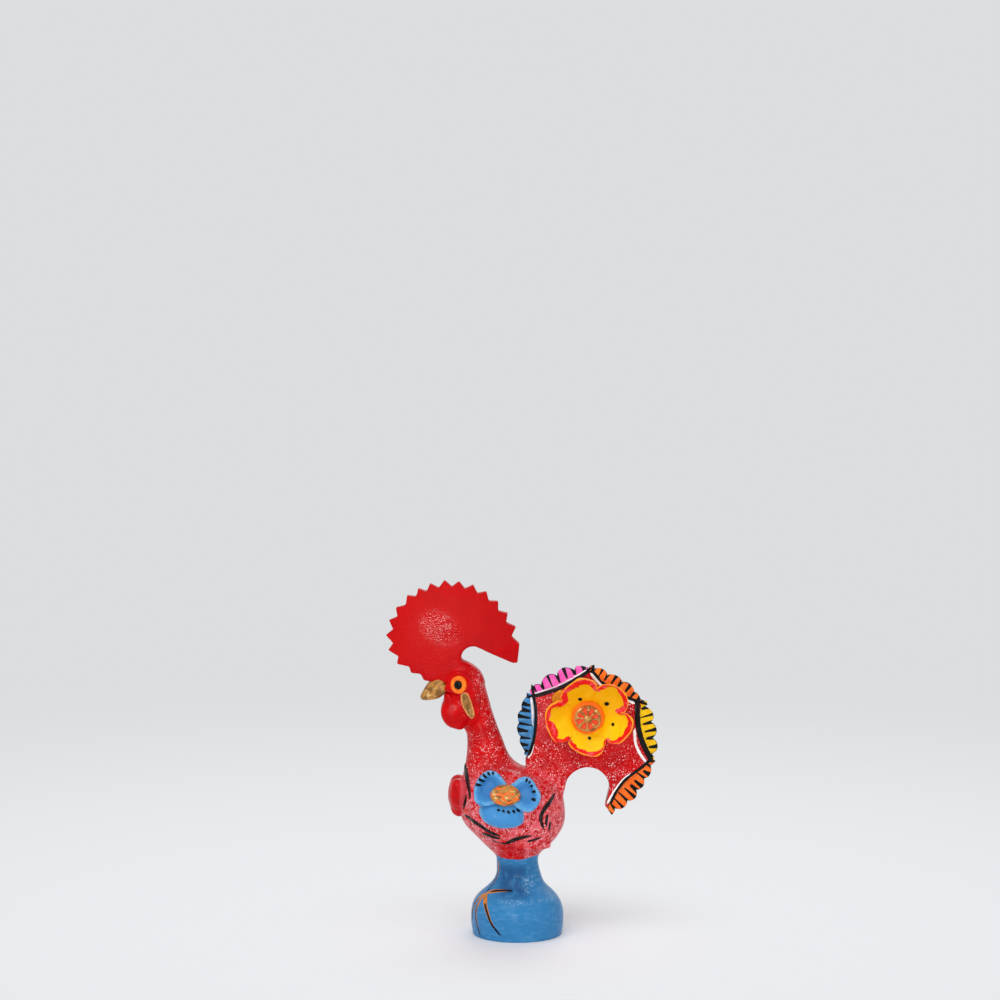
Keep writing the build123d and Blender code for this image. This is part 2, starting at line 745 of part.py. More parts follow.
with BuildPart() as collar:
    with BuildSketch(flower_plane):
        Circle(collar_radius)
    extrude(amount=collar_height)
    fillet(collar.faces().sort_by(Axis.Y)[0].edges(), collar_edge)
    with BuildSketch(flower_plane):
        Circle(hub_radius)
    extrude(amount=collar_height, mode=Mode.SUBTRACT)
    with Locations(flower_plane.offset(cup_radius).location):
        Sphere(cup_radius - flower_petal_wall, mode=Mode.INTERSECT)
save_pair("tail_collar", collar)

leaf_x, leaf_z = share_pair(leaf_place_shares, tail_length, tail_height)
with BuildPart() as leaf:
    with BuildSketch(tail_plane):
        with Locations((leaf_x, leaf_z)):
            Ellipse(leaf_length / 2, leaf_width / 2)
    extrude(amount=flower_seat + leaf_thickness)
    add(tail_form.part, mode=Mode.SUBTRACT)
save_pair("tail_leaf", leaf)

for number, (angle, reach_share) in enumerate(zip(petal_angles, petal_reach_shares)):
    before = petal_angles[number - 1]
    after = petal_angles[(number + 1) % len(petal_angles)]
    turn_back = ((angle - before) % 360) / 2
    turn_on = ((after - angle) % 360) / 2
    sector = [(0, 0)]
    for bound in (angle - turn_back, angle, angle + turn_on):
        sector.append((2 * flower_radius * cos(radians(bound)), 2 * flower_radius * sin(radians(bound))))
    reach = reach_share * flower_radius
    with BuildPart() as petal:
        with BuildSketch(flower_plane.offset(-seam_overrun)):
            with Locations((reach * cos(radians(angle)), reach * sin(radians(angle)))):
                Circle(flower_lobe_radius)
            Circle(collar_radius)
            make_hull()
            Circle(hub_radius, mode=Mode.SUBTRACT)
            Polygon(*sector, align=None, mode=Mode.INTERSECT)
        extrude(amount=2 * flower_radius)
        with Locations(flower_plane.offset(cup_radius).location):
            Sphere(cup_radius, mode=Mode.INTERSECT)
            Sphere(cup_radius - flower_petal_wall, mode=Mode.SUBTRACT)
        add(tail_form.part, mode=Mode.SUBTRACT)
        add(leaf.part, mode=Mode.SUBTRACT)
    save_pair(f"tail_petal_{number + 1}", petal)

# Body shell, hollow in the belly, in two halves that meet on the middle plane
with BuildPart() as body_shell:
    add(body_form.part)
    loft(level_ovals(body_oval_shares[belly_hollow_rows], body_wall), mode=Mode.SUBTRACT)
    with BuildSketch(Plane.XY.offset(foot_height)):
        Circle(spigot_radius + fit_clearance)
    extrude(amount=spigot_height + fit_clearance, mode=Mode.SUBTRACT)
    with BuildSketch(Plane.XY.offset(foot_height)):
        Circle(vent_radius)
    extrude(amount=2 * spigot_height, mode=Mode.SUBTRACT)
    add(comb_socket, mode=Mode.SUBTRACT)
    add(beak_socket.part, mode=Mode.SUBTRACT)
    add(tail_socket, mode=Mode.SUBTRACT)
    add(pupil_socket.part, mode=Mode.SUBTRACT)
    mirror(pupil_socket.part, about=Plane.XZ, mode=Mode.SUBTRACT)
for half_name, half in (("left", Keep.TOP), ("right", Keep.BOTTOM)):
    with BuildPart() as shell_half:
        add(body_shell.part)
        split(bisect_by=Plane.XZ, keep=half)
    save(f"body_shell_{half_name}", shell_half)
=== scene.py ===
from contextlib import contextmanager
from math import ceil, cos, pi, radians, sin, tan

import bmesh
import bpy
import numpy as np
from bpy.props import FloatProperty, FloatVectorProperty, PointerProperty
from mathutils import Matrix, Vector, noise


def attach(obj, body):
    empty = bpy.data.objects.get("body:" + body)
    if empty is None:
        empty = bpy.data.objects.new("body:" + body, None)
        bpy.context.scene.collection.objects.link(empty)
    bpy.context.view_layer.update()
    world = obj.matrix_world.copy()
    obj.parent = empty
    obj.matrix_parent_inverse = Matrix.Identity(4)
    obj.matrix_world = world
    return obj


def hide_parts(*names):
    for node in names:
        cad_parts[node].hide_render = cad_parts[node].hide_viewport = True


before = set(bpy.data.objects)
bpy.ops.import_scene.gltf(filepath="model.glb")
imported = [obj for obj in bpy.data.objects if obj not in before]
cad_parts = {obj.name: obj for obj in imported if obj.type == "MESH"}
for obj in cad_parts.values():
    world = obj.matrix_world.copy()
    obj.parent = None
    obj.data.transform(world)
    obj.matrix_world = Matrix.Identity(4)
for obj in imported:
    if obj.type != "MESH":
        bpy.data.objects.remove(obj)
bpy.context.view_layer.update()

bl_info = {
    "name": "Painted Clay Rooster",
    "version": (1, 0, 0),
    "blender": (4, 5, 0),
    "location": "3D View > Sidebar > Rooster",
    "description": "Models and paints the clay pieces of a folk rooster",
    "category": "Object",
}

MM = 0.001
SIDES = {"left": -1, "right": 1}

# The painted skin: what melts into it, and a filling for the foot's spigot by radius, lower end and upper end
SKIN_NODES = (
    "body_shell_left", "body_shell_right", "comb", "tail_plate", "left_wing", "right_wing", "left_wattle",
    "right_wattle", "foot",
)
FOOT_PLUG = (4.2, 18.5, 29.0)
MERGE_DISTANCE = 0.001 * MM
# Joints that the maker smoothed over: a path, how far it is fully smooth and how far nothing is
SOFT_JOINTS = (
    (((-26.0, 73.5), (-20.0, 74.5), (-12.5, 77.0)), 2.6, 5.5),
    (((-1.5, 50.5), (1.4, 51.4), (2.0, 48.5), (8.0, 45.5), (14.5, 41.0)), 2.5, 5.0),
    (((12.8, 41.5), (13.2, 36.5)), 2.0, 4.0),
    (((3.0, 49.0), (-10.8, 48.4), (-13.6, 40.1), (-11.1, 30.5), (-3.0, 26.8)), 1.6, 3.6),
    (((3.0, 48.0), (10.5, 42.1), (9.9, 36.0)), 1.6, 3.4),
    (((-19.5, 67.6), (-15.0, 66.5), (-13.6, 62.5), (-14.6, 58.6)), 2.6, 4.6),
    (((-7.0, 21.0), (7.0, 21.0)), 1.2, 2.4),
)
# Planes of the side view that part the skin into its pieces, and how near them faces are cut
COMB_CUT = ((-27.0, 71.2), (-12.5, 77.6))
TAIL_CUT = ((0.0, 49.6), (14.6, 42.2))
FOOT_SEAM = 21.0
CUT_REACH = 1.5 * MM
BLUE_HEM = 22.1
TAIL_SHIFT = 0.65

# Outlines, in millimetres. Side-view points are x and z, and distances out are from the middle plane.
FLOWER_CENTRE = (20.1, 62.3)
PLATE_FACE = 3.0
CUP_RADIUS = 18.0
PETAL_WALL = 1.7
OUTER_EDGE_FROM = 8.6
LEAF_MIDDLE = (13.0, 67.0)
HEART_HALF = (
    (0, 33.2), (2.2, 35.1), (4.3, 37.4), (5.8, 40.0), (5.9, 42.3), (4.6, 44.1), (2.6, 44.6), (1.0, 44.0),
    (0, 43.2),
)
HEART_OUTLINE = HEART_HALF + tuple((-across, up) for across, up in HEART_HALF[-2:0:-1])
HEART_MIDDLE = (0, 39.2)
LOBE_OUTLINE = (
    (-15.6, 68.9), (-14.4, 69.5), (-13.3, 68.2), (-12.3, 65.0), (-11.9, 62.7), (-12.8, 61.8), (-14.4, 63.5),
    (-15.6, 66.3),
)
FRONT_PETAL = (
    (-3.0, 44.2), (-4.4, 46.7), (-6.4, 48.0), (-8.5, 47.9), (-10.5, 46.5), (-11.8, 44.6), (-12.1, 42.5),
    (-11.8, 40.3), (-9.8, 39.2), (-6.5, 39.6), (-4.2, 41.4),
)
REAR_PETAL = (
    (-3.2, 42.8), (-1.4, 44.8), (0.6, 46.2), (2.8, 46.5), (4.6, 45.5), (5.9, 43.7), (6.9, 41.7),
    (6.7, 39.7), (5.2, 38.2), (3.0, 37.5), (0.9, 38.0), (-1.2, 39.6),
)
LOWER_PETAL = (
    (-9.7, 39.1), (-7.6, 39.9), (-4.0, 40.2), (-0.6, 39.8), (1.6, 38.0), (2.1, 35.6), (1.4, 33.5),
    (-0.8, 32.4), (-3.6, 32.2), (-6.6, 32.6), (-9.1, 33.9), (-10.4, 35.8), (-10.6, 37.6),
)
BLOOM_CENTRE = (
    (-7.6, 41.8), (-6.9, 43.4), (-5.0, 44.5), (-2.7, 44.7), (-0.5, 44.0), (0.8, 42.2), (0.4, 40.4),
    (-1.7, 39.3), (-4.4, 39.1), (-6.7, 40.1),
)
BLOOM_HEIGHT = 42.3
TAIL_PETALS = (
    ((12.8, 67.2), (11.2, 66.9), (9.5, 66.1), (8.5, 64.5), (8.4, 61.4), (9.4, 58.4), (10.9, 56.0),
     (12.9, 55.4), (15.0, 56.0), (17.9, 58.9), (20.1, 62.3), (16.6, 65.0)),
    ((15.0, 55.9), (14.9, 55.0), (16.4, 53.4), (19.0, 52.2), (21.9, 51.7), (23.8, 52.6), (24.9, 54.4),
     (24.9, 56.2), (22.8, 59.5), (20.1, 62.3), (17.3, 59.4)),
    ((24.9, 56.2), (26.4, 55.2), (28.3, 55.4), (30.2, 57.0), (31.8, 59.3), (32.2, 61.7), (31.2, 63.4),
     (29.7, 64.0), (24.9, 63.5), (20.1, 62.3), (22.2, 59.1)),
    ((29.7, 64.0), (30.5, 65.0), (30.9, 67.1), (30.2, 69.6), (27.8, 71.8), (24.6, 72.1), (23.2, 71.3),
     (22.3, 70.0), (20.9, 66.2), (20.1, 62.3), (25.0, 62.8)),
    ((22.3, 70.0), (22.6, 71.5), (21.3, 73.2), (18.0, 73.8), (14.9, 72.0), (13.0, 69.8), (12.8, 67.4),
     (16.3, 64.5), (20.1, 62.3), (21.5, 66.0)),
)
RED_RIM_WIDTHS = (1.9, 0.95, 1.0, 1.4, 1.95)

# Tail plate corners, from the foot of the front frill round to the tip, the bow of each edge, and the shares
# of it between which it is black
TAIL_CORNERS = ((2.0, 49.3), (4.6, 67.5), (20.9, 74.6), (34.7, 65.0), (37.6, 49.0), (25.6, 35.9))
EDGE_BOWS = (1.7, 0.6, 0.8, 1.8, 1.5)
BLACK_SHARES = ((0.12, 1), (0, 1), (0, 1), (0, 1), (0, 0.86))
# The frill on each edge: paint, slot, lobes to an edge, where the first notch falls, depth of the notches,
# how far its ends fan out, and its tips as shares of the edge and reaches from its straight line
FRILLS = {
    "front": ("front_frill", "blue_paint", 5.0, 0.15, 0.7, 0.05, (
        (0.10, 0.3), (0.16, 0.9), (0.27, 2.1), (0.47, 3.4), (0.67, 3.7), (0.87, 2.8), (1, 2.2),
    )),
    "upper_front": ("pink_frill", "pink_paint", 3.7, 0.49, 1.5, 0.06, (
        (0, 1.9), (0.04, 2.1), (0.27, 3.3), (0.54, 3.8), (0.80, 3.1), (1, 0.5),
    )),
    "top": ("top_frill", "orange_paint", 4.17, 0.29, 1.2, 0.06, (
        (0, 1.5), (0.05, 1.8), (0.26, 2.6), (0.52, 3.1), (0.77, 2.7), (0.92, 1.2), (1, 0.2),
    )),
    "rear": ("rear_frill", "flower_yellow_paint", 3.85, 0.345, 1.4, 0.08, (
        (0, 1.8), (0.04, 2.1), (0.3, 3.1), (0.56, 2.9), (0.82, 2.2), (1, 0.5),
    )),
    "lower": ("lower_frill", "orange_paint", 5.0, 0.3, 1.2, 0.10, (
        (0, 0.9), (0.04, 1.1), (0.24, 2.7), (0.44, 3.4), (0.66, 4.0), (0.84, 3.3), (1, 2.4),
    )),
}
FRILL_THICKNESS = 2.9
FRILL_TIP_THICKNESS = 1.7

# The face, and the spots at the throat that swell: depth, spot and width
EYE = (-16.3, 71.6)
EYE_DROP = 0.2
CHEEK_RIDGE = ((-13.4, 72.9), (-12.0, 70.0), (-11.1, 67.0), (-10.8, 64.0), (-11.5, 61.6), (-13.2, 59.8))
CROWN_RIDGE = ((-15.2, 77.4), (-13.0, 76.0), (-10.6, 74.2), (-9.6, 71.5))
BEAK_OUTLINE = (
    (-27.1, 67.0), (-26.6, 68.4), (-25.5, 70.2), (-24.3, 71.7), (-22.9, 72.6), (-21.6, 72.8), (-20.3, 72.3),
    (-19.4, 71.0), (-19.4, 69.4), (-20.2, 68.0), (-21.7, 67.0), (-24.2, 66.3), (-26.2, 66.1),
)
BEAK_MIDDLE = (-22.0, 69.0)
MOUTH_LINE = ((-19.0, 68.0), (-23.5, 67.2), (-27.5, 66.3))
CHEEK = (-14.4, 62.4)
THROAT_SWELLS = ((1.6, (-19.3, 67.8), 1.3), (1.3, (-18.9, 70.2), 1.3), (0.9, (-15.6, 58.8), 1.5))

# Brush strokes on the flank: half width, then side-view points. THROW is how far off, in metres, they start.
THROW = 0.1
BODY_STROKES = (
    (0.66, ((-14.5, 48.2), (-14.2, 45.9), (-13.7, 43.3), (-13.3, 41.2), (-13.2, 39.6))),
    (0.48, ((-14.8, 41.8), (-14.5, 39.9), (-14.6, 38.1), (-15.1, 36.0))),
    (0.20, ((-16.3, 38.3), (-16.4, 36.8), (-16.1, 35.3))),
    (0.62, ((-14.8, 34.6), (-12.5, 33.7), (-10.2, 32.5), (-8.4, 31.3), (-6.7, 30.5), (-4.6, 29.8))),
    (0.56, ((-9.9, 30.4), (-7.3, 29.6), (-4.5, 29.0))),
    (0.42, ((-7.2, 28.0), (-4.7, 27.6), (-2.6, 27.9))),
    (0.64, ((-3.4, 27.6), (-0.9, 28.9), (1.3, 29.6), (4.2, 30.0))),
    (0.42, ((2.6, 28.3), (4.7, 28.7), (7.0, 29.4))),
    (0.70, ((11.1, 41.0), (9.9, 39.4), (8.4, 37.7), (7.4, 36.2), (7.0, 34.8), (7.2, 33.3), (7.7, 31.6))),
    (0.48, ((9.0, 35.9), (8.6, 34.2), (8.4, 32.2))),
    (0.44, ((9.6, 33.6), (9.3, 32.1), (9.0, 30.8))),
)
PETAL_MARKS = {
    "front": (
        ((-11.6, 44.8), (-9.8, 44.2)), ((-10.8, 46.2), (-9.0, 45.2)), ((-9.6, 47.3), (-8.3, 46.2)),
        ((-8.3, 47.9), (-7.5, 46.9)), ((-7.0, 48.0), (-6.5, 47.1)),
    ),
    "rear": (
        ((2.9, 46.3), (2.2, 45.2)), ((3.9, 45.8), (3.1, 44.9)), ((5.0, 44.8), (3.6, 44.0)),
        ((5.7, 43.2), (4.1, 42.6)), ((5.5, 40.7), (3.9, 40.9)),
    ),
    "lower": (
        ((-5.7, 38.0), (-4.7, 37.7)), ((-4.2, 37.9), (-3.5, 37.2)), ((-2.9, 37.7), (-2.0, 36.9)),
        ((-1.4, 37.9), (-0.6, 36.9)), ((-0.2, 38.2), (0.7, 37.2)),
    ),
}
BLACK_BORDERS = (
    (0.44, ((4.3, 70.4), (4.9, 68.0), (5.5, 64.9), (5.7, 61.8), (5.5, 58.7), (4.9, 55.2), (3.9, 52.3),
            (3.1, 50.9))),
    (0.42, ((3.7, 67.4), (7.2, 68.1), (10.7, 69.2), (13.7, 70.5), (18.1, 73.0), (22.2, 75.8))),
    (0.42, ((19.6, 75.1), (21.5, 74.3), (23.0, 72.8), (24.5, 71.1), (27.5, 68.8), (30.9, 67.0),
            (36.4, 65.1))),
    (0.74, ((33.7, 66.6), (33.5, 64.5), (33.6, 61.8), (33.9, 58.7), (34.6, 55.7), (35.7, 53.0),
            (37.9, 48.6))),
    (0.48, ((37.7, 49.9), (35.0, 47.5), (32.4, 45.6), (30.3, 43.9), (28.7, 41.7), (27.4, 39.4),
            (25.9, 35.6))),
)
WHITE_BORDERS = (
    (0.42, ((4.1, 67.2), (4.5, 64.5), (4.7, 61.8), (4.8, 59.0))),
    (0.36, ((5.0, 55.4), (4.7, 53.8), (4.1, 51.9), (3.1, 50.2))),
    (0.20, ((5.0, 68.1), (10.4, 69.8), (13.4, 71.1), (17.8, 73.6), (20.0, 74.9))),
    (0.38, ((20.9, 74.2), (22.4, 72.3), (23.9, 70.8), (27.5, 68.1), (30.9, 66.4), (32.9, 65.4))),
    (0.38, ((32.8, 58.5), (33.0, 54.8), (33.7, 52.6), (34.8, 50.6), (36.2, 48.7))),
    (0.34, ((31.9, 45.8), (29.9, 44.1), (28.2, 41.9), (26.8, 39.5), (25.6, 37.2))),
)
FLOWER_DOTS = (
    (1, 0.44, ((13.2, 61.9), (13.1, 61.3), (13.2, 60.6))),
    (2, 0.46, ((20.2, 56.3), (20.6, 56.4), (21.1, 56.4))),
    (3, 0.50, ((26.5, 60.4), (26.9, 60.4), (27.3, 60.4))),
    (4, 0.70, ((25.3, 66.7), (25.3, 66.1), (25.4, 65.6))),
    (5, 0.46, ((17.4, 67.4), (18.0, 67.3), (18.6, 67.2))),
)

# Bird's feet on the front of the blue foot: half width, then degrees round from the left side and height
FOOT_STROKES = (
    (0.80, ((-65, 21.4), (-66, 19.4), (-69, 17.4), (-71, 15.6), (-70, 14.0), (-66, 12.4))),
    (0.60, ((-66, 12.2), (-57, 12.8), (-47, 13.2), (-31, 13.6), (-18, 13.7), (-9, 13.7))),
    (0.70, ((-67, 12.0), (-65, 9.8), (-65, 7.0), (-62, 4.4), (-58, 2.5), (-55, 0.5))),
    (0.80, ((-66, 12.2), (-53, 10.5), (-42, 8.0), (-35, 5.4), (-28, 3.6), (-21, 1.9))),
    (0.74, ((-67, 12.2), (-73, 11.0), (-77, 9.0), (-79, 6.5), (-80, 4.3))),
)
FOOT_RADIUS = 12.5

# The studio, in metres: floor, where it fades, and each lamp's name, place and size
FLOOR_RADIUS = 0.5
WORLD_LIGHT = 0.45
FLOOR_FADE = (0.018, 0.075)
LAMPS = (
    ("key", (-0.30, -0.55, 0.95), 0.8),
    ("front", (-0.083, -0.60, 0.085), 0.045),
    ("fill", (0.8, -0.6, 0.45), 0.9),
    ("back", (0.3, 0.8, 0.7), 0.9),
)
CAMERA_LENS = 130.9
CAMERA_PLACE = (-0.00484, -1.00015, 0.2398)
CAMERA_TILT = 83.3


def srgb(red, green, blue):
    """The linear colour of a paint that a screen shows with these values of 0 to 255."""
    parts = [part / 255 for part in (red, green, blue)]
    return tuple(p / 12.92 if p <= 0.04045 else ((p + 0.055) / 1.055) ** 2.4 for p in parts) + (1.0,)


def paint_property(name, description, *screen):
    """A colour that the user may change, given as a screen shows it."""
    return FloatVectorProperty(
        name=name, description=description, subtype="COLOR", size=4, min=0, max=1, default=srgb(*screen)
    )


def length_property(name, description, millimetres):
    """A length that the user may change."""
    return FloatProperty(
        name=name, description=description, default=millimetres * MM, min=0, precision=5, unit="LENGTH"
    )


def power_property(name, lamp, watts):
    """A lamp's power."""
    return FloatProperty(name=name, description=f"Power of the {lamp} lamp", default=watts, unit="POWER")


class RoosterSizes(bpy.types.PropertyGroup):
    """Sizes that a user would change."""

    skin_grain: length_property("Skin grain", "Mesh size of the painted body", 0.28)
    piece_grain: length_property("Piece grain", "Mesh size of the small clay pieces", 0.13)
    hand_wobble: length_property("Hand wobble", "Unevenness that the maker's hand leaves", 0.16)
    stroke_step: length_property("Stroke step", "Mesh size along a brush stroke", 0.22)
    key_power: power_property("Key light", "high", 5.5)
    front_power: power_property("Front light", "front", 0.8)
    fill_power: power_property("Fill light", "right", 1.6)
    back_power: power_property("Back light", "rear", 3.0)


class RoosterColours(bpy.types.PropertyGroup):
    """Paints that a user would change."""

    body_red: paint_property("Body red", "Paint of body, head and tail", 202, 4, 8)
    comb_red: paint_property("Comb red", "Paint of the comb", 196, 0, 2)
    dark_red: paint_property("Dark red", "Shaded brush patches", 158, 2, 10)
    # Pink dry brushing, which also stands in as painted sheen on the belly
    pink_wash_and_sheen: paint_property("Pink wash", "Dry brushing over the red", 236, 104, 116)
    # White specks, partly spatter and partly painted glints
    fleck_and_glint: paint_property("Fleck", "Fine spatter", 255, 232, 232)
    foot_blue: paint_property("Foot blue", "Paint of the foot", 52, 124, 178)
    foot_light: paint_property("Foot light blue", "Thin streaks on the foot", 96, 160, 206)
    # Painted shade: the darker blue at the foot's waist
    foot_shade_blue: paint_property("Foot dark blue", "Thick paint at the waist", 30, 76, 126)
    petal_blue: paint_property("Petal blue", "Paint of the flank petals", 66, 142, 204)
    # Paler blue on the flank petals' rims, a painted highlight there
    petal_light: paint_property("Petal light blue", "Rims of the flank petals", 118, 182, 226)
    # Painted shade in the hollows of the flank petals
    petal_shade_blue: paint_property("Petal deep blue", "Hollows of the flank petals", 46, 112, 178)
    flower_yellow: paint_property("Flower yellow", "Paint of the tail flowers", 252, 200, 4)
    rim_orange: paint_property("Rim orange", "Thin edge of the tail petals", 255, 158, 40)
    rim_red: paint_property("Rim red", "Brushed rim of the tail petals", 236, 30, 24)
    orange: paint_property("Orange", "Eye rings, collars and two frills", 255, 110, 30)
    pink: paint_property("Pink", "Upper front frill", 248, 92, 184)
    frill_yellow: paint_property("Frill yellow", "Rear frill", 244, 198, 20)
    frill_blue: paint_property("Frill blue", "Front frill", 62, 132, 192)
    gold: paint_property("Gold", "Beak and ear lobes", 186, 128, 56)
    gold_light: paint_property("Light gold", "Raised brush marks in gold", 236, 196, 132)
    gold_dark: paint_property("Dark gold", "Hollows in gold", 112, 72, 14)
    black: paint_property("Black", "Brush strokes and pupils", 12, 12, 14)
    dry_grey: paint_property("Dry grey", "Worn middle of the strokes", 92, 84, 84)
    white: paint_property("White", "White border lines", 250, 246, 244)
    clay: paint_property("Clay", "Bare clay under the foot", 196, 150, 118)
    floor: paint_property("Floor", "Studio floor", 241, 242, 244)
    floor_glow: paint_property("Floor glow", "Studio floor away from the lamps' pool", 235, 236, 239)
    backdrop: paint_property("Backdrop", "Studio background", 220, 221, 223)


def maths(operation, swapped=False):
    """A method of Value that adds a Math node."""

    def method(self, other):
        return self.tree.math(operation, *((other, self) if swapped else (self, other)))

    return method


class Value:
    """A socket that takes part in Python sums, which add its Math nodes."""

    __add__, __radd__ = maths("ADD"), maths("ADD", swapped=True)
    __sub__, __rsub__ = maths("SUBTRACT"), maths("SUBTRACT", swapped=True)
    __mul__, __rmul__ = maths("MULTIPLY"), maths("MULTIPLY", swapped=True)
    __truediv__, __rtruediv__ = maths("DIVIDE"), maths("DIVIDE", swapped=True)
    __pow__ = maths("POWER")
    least = maths("MINIMUM")
    most = maths("MAXIMUM")

    def __init__(self, tree, socket):
        self.tree = tree
        self.socket = socket

    def __abs__(self):
        return self.tree.math("ABSOLUTE", self)

    def also(self, name):
        """Another output of the same node."""
        return Value(self.tree, self.socket.node.outputs[name])

    def ramp(self, low, high):
        """0 up to low, 1 from high and smooth between, or falling where high is the smaller."""
        return self.tree.node(
            "ShaderNodeMapRange",
            {"interpolation_type": "SMOOTHSTEP"},
            {"Value": self, "From Min": low, "From Max": high},
        )


class Tree:
    """A node tree that is built by short calls."""

    def __init__(self, tree):
        self.tree = tree

    def node(self, kind, settings=None, inputs=None, output=0):
        """Add a node with its settings first, then values or links on its inputs, and give one output."""
        made = self.tree.nodes.new(kind)
        for name, value in (settings or {}).items():
            setattr(made, name, value)
        for key, value in (inputs or {}).items():
            if isinstance(value, Value):
                self.tree.links.new(value.socket, made.inputs[key])
            else:
                made.inputs[key].default_value = value
        return Value(self, made.outputs[output])

    def math(self, operation, *values):
        return self.node("ShaderNodeMath", {"operation": operation}, dict(enumerate(values)))

    def vector(self, operation, *values):
        return self.node("ShaderNodeVectorMath", {"operation": operation}, dict(enumerate(values)))

    def scaled(self, vector, scale):
        return self.node("ShaderNodeVectorMath", {"operation": "SCALE"}, {0: vector, "Scale": scale})

    def combine(self, x=0.0, y=0.0, z=0.0):
        """A vector of three parts."""
        return self.node("ShaderNodeCombineXYZ", inputs={0: x, 1: y, 2: z})

    def axes(self, vector):
        """The three parts of a vector."""
        split = self.node("ShaderNodeSeparateXYZ", inputs={0: vector})
        return split, split.also("Y"), split.also("Z")

    def mix(self, share, first, second):
        """Mix two colours, where numbers 6 and 7 are the Mix node's colour inputs and 2 its colour output."""
        return self.node("ShaderNodeMix", {"data_type": "RGBA"}, {0: share, 6: first, 7: second}, 2)

    def background_seen(self):
        """1 for rays that see the background, from the camera, off gloss and metal or through glass."""
        seen = self.node("ShaderNodeLightPath", output="Is Camera Ray")
        return seen.most(seen.also("Is Glossy Ray")).most(seen.also("Is Transmission Ray"))


class Finish(Tree):
    """The node tree of one painted finish, laid out on Object coordinates."""

    def __init__(self, name):
        self.material = bpy.data.materials.new(name)
        self.material.use_nodes = True
        super().__init__(self.material.node_tree)
        self.shader = self.tree.nodes["Principled BSDF"]
        self.place = self.node("ShaderNodeTexCoord", output="Object")

    def millimetres(self):
        """The three parts of the Object coordinates, in millimetres."""
        return self.axes(self.vector("DIVIDE", self.place, (MM, MM, MM)))

    def noise(self, size, detail=2.0, stretch=(1, 1, 1), place=None):
        """Cloudy noise whose clouds are about this many millimetres across."""
        spread = self.vector("MULTIPLY", place or self.place, stretch)
        return self.node(
            "ShaderNodeTexNoise", inputs={"Vector": spread, "Scale": 1 / (size * MM), "Detail": detail}
        )

    def dots(self, apart, reach):
        """Round dots whose middles are about this many millimetres apart."""
        nearest = self.node(
            "ShaderNodeTexVoronoi",
            inputs={"Vector": self.place, "Scale": 1 / (apart * MM)},
            output="Distance",
        )
        return nearest.ramp(reach + 0.05, reach - 0.05)

    def turned(self, degrees):
        """Object coordinates turned about Y, for marks that slant in the side view."""
        return self.node(
            "ShaderNodeMapping", inputs={"Vector": self.place, "Rotation": (0, radians(degrees), 0)}
        )

    def attribute(self, name):
        return self.node("ShaderNodeAttribute", {"attribute_name": name}, output="Fac")

    def chance(self, number):
        """A random share that goes with a whole number."""
        return self.node("ShaderNodeTexWhiteNoise", {"noise_dimensions": "1D"}, {"W": number}, "Value")

    def apply(self, colour, roughness, specular, relief=None, depth=0.0, metallic=0.0):
        """Wire the shader: values are linked, fixed numbers are set, and a relief in millimetres bumps it."""
        if relief is not None:
            bump = self.node("ShaderNodeBump", inputs={"Distance": depth * MM, "Height": relief})
            self.tree.links.new(bump.socket, self.shader.inputs["Normal"])
        for name, value in (
            ("Base Color", colour),
            ("Roughness", roughness),
            ("Metallic", metallic),
            ("Specular IOR Level", specular),
        ):
            if isinstance(value, Value):
                self.tree.links.new(value.socket, self.shader.inputs[name])
            else:
                self.shader.inputs[name].default_value = value
        return self.material


def red_coat(paint, colours):
    """Glossy red with pink dry brushing and painted sheen on the belly, and pale spatter mixed with painted
    glints off the face: colour, roughness, relief.
    """
    x, y, z = paint.millimetres()
    below_face = z.ramp(59, 55.5)
    behind_face = (x + (z - 66) * 0.25).ramp(-11.8, -9.6)
    spatter = below_face.most(behind_face) * z.ramp(77, 75)
    belly = z.ramp(50, 40) * x.ramp(17, 12)
    hem = z.ramp(31, 27) * abs(x + 1.5).ramp(5, 2.5)
    wash = paint.noise(1.7, 5.0, (1, 1, 0.8))
    crowd = paint.noise(2.0, 2.0).ramp(0.40, 0.60)
    brushed = paint.noise(0.6, 4.0, (1, 1, 0.7)).ramp(0.52, 0.66)
    red = paint.mix(paint.noise(5.0, 2.0).ramp(0.42, 0.62) * 0.4, colours.body_red, colours.dark_red)
    # Pink over the red: partly dry brushing and partly painted sheen, heaviest on the belly
    pink = (0.04 + 0.72 * belly) * (1 - 0.8 * hem) * wash.ramp(0.44, 0.58)
    red = paint.mix(spatter * pink, red, colours.pink_wash_and_sheen)
    red = paint.mix(spatter * belly * brushed * (1 - hem) * 0.5, red, srgb(250, 178, 186))
    # Pale dots and white flecks: partly real spatter and partly painted glints
    pale = paint.dots(0.42, 0.28) * (0.20 + 0.80 * crowd) * 0.6
    red = paint.mix(spatter * pale * (1 - 0.6 * hem), red, srgb(246, 176, 178))
    flecks_and_glints = paint.dots(0.60, 0.22) * (0.12 + 0.88 * crowd)
    red = paint.mix(spatter * flecks_and_glints * (1 - 0.6 * hem), red, colours.fleck_and_glint)
    relief = (paint.noise(0.40, 2.0) * 0.6 + wash * 0.8) * (0.35 + 0.65 * spatter)
    return red, 0.18 + 0.16 * wash.ramp(0.3, 0.7), relief


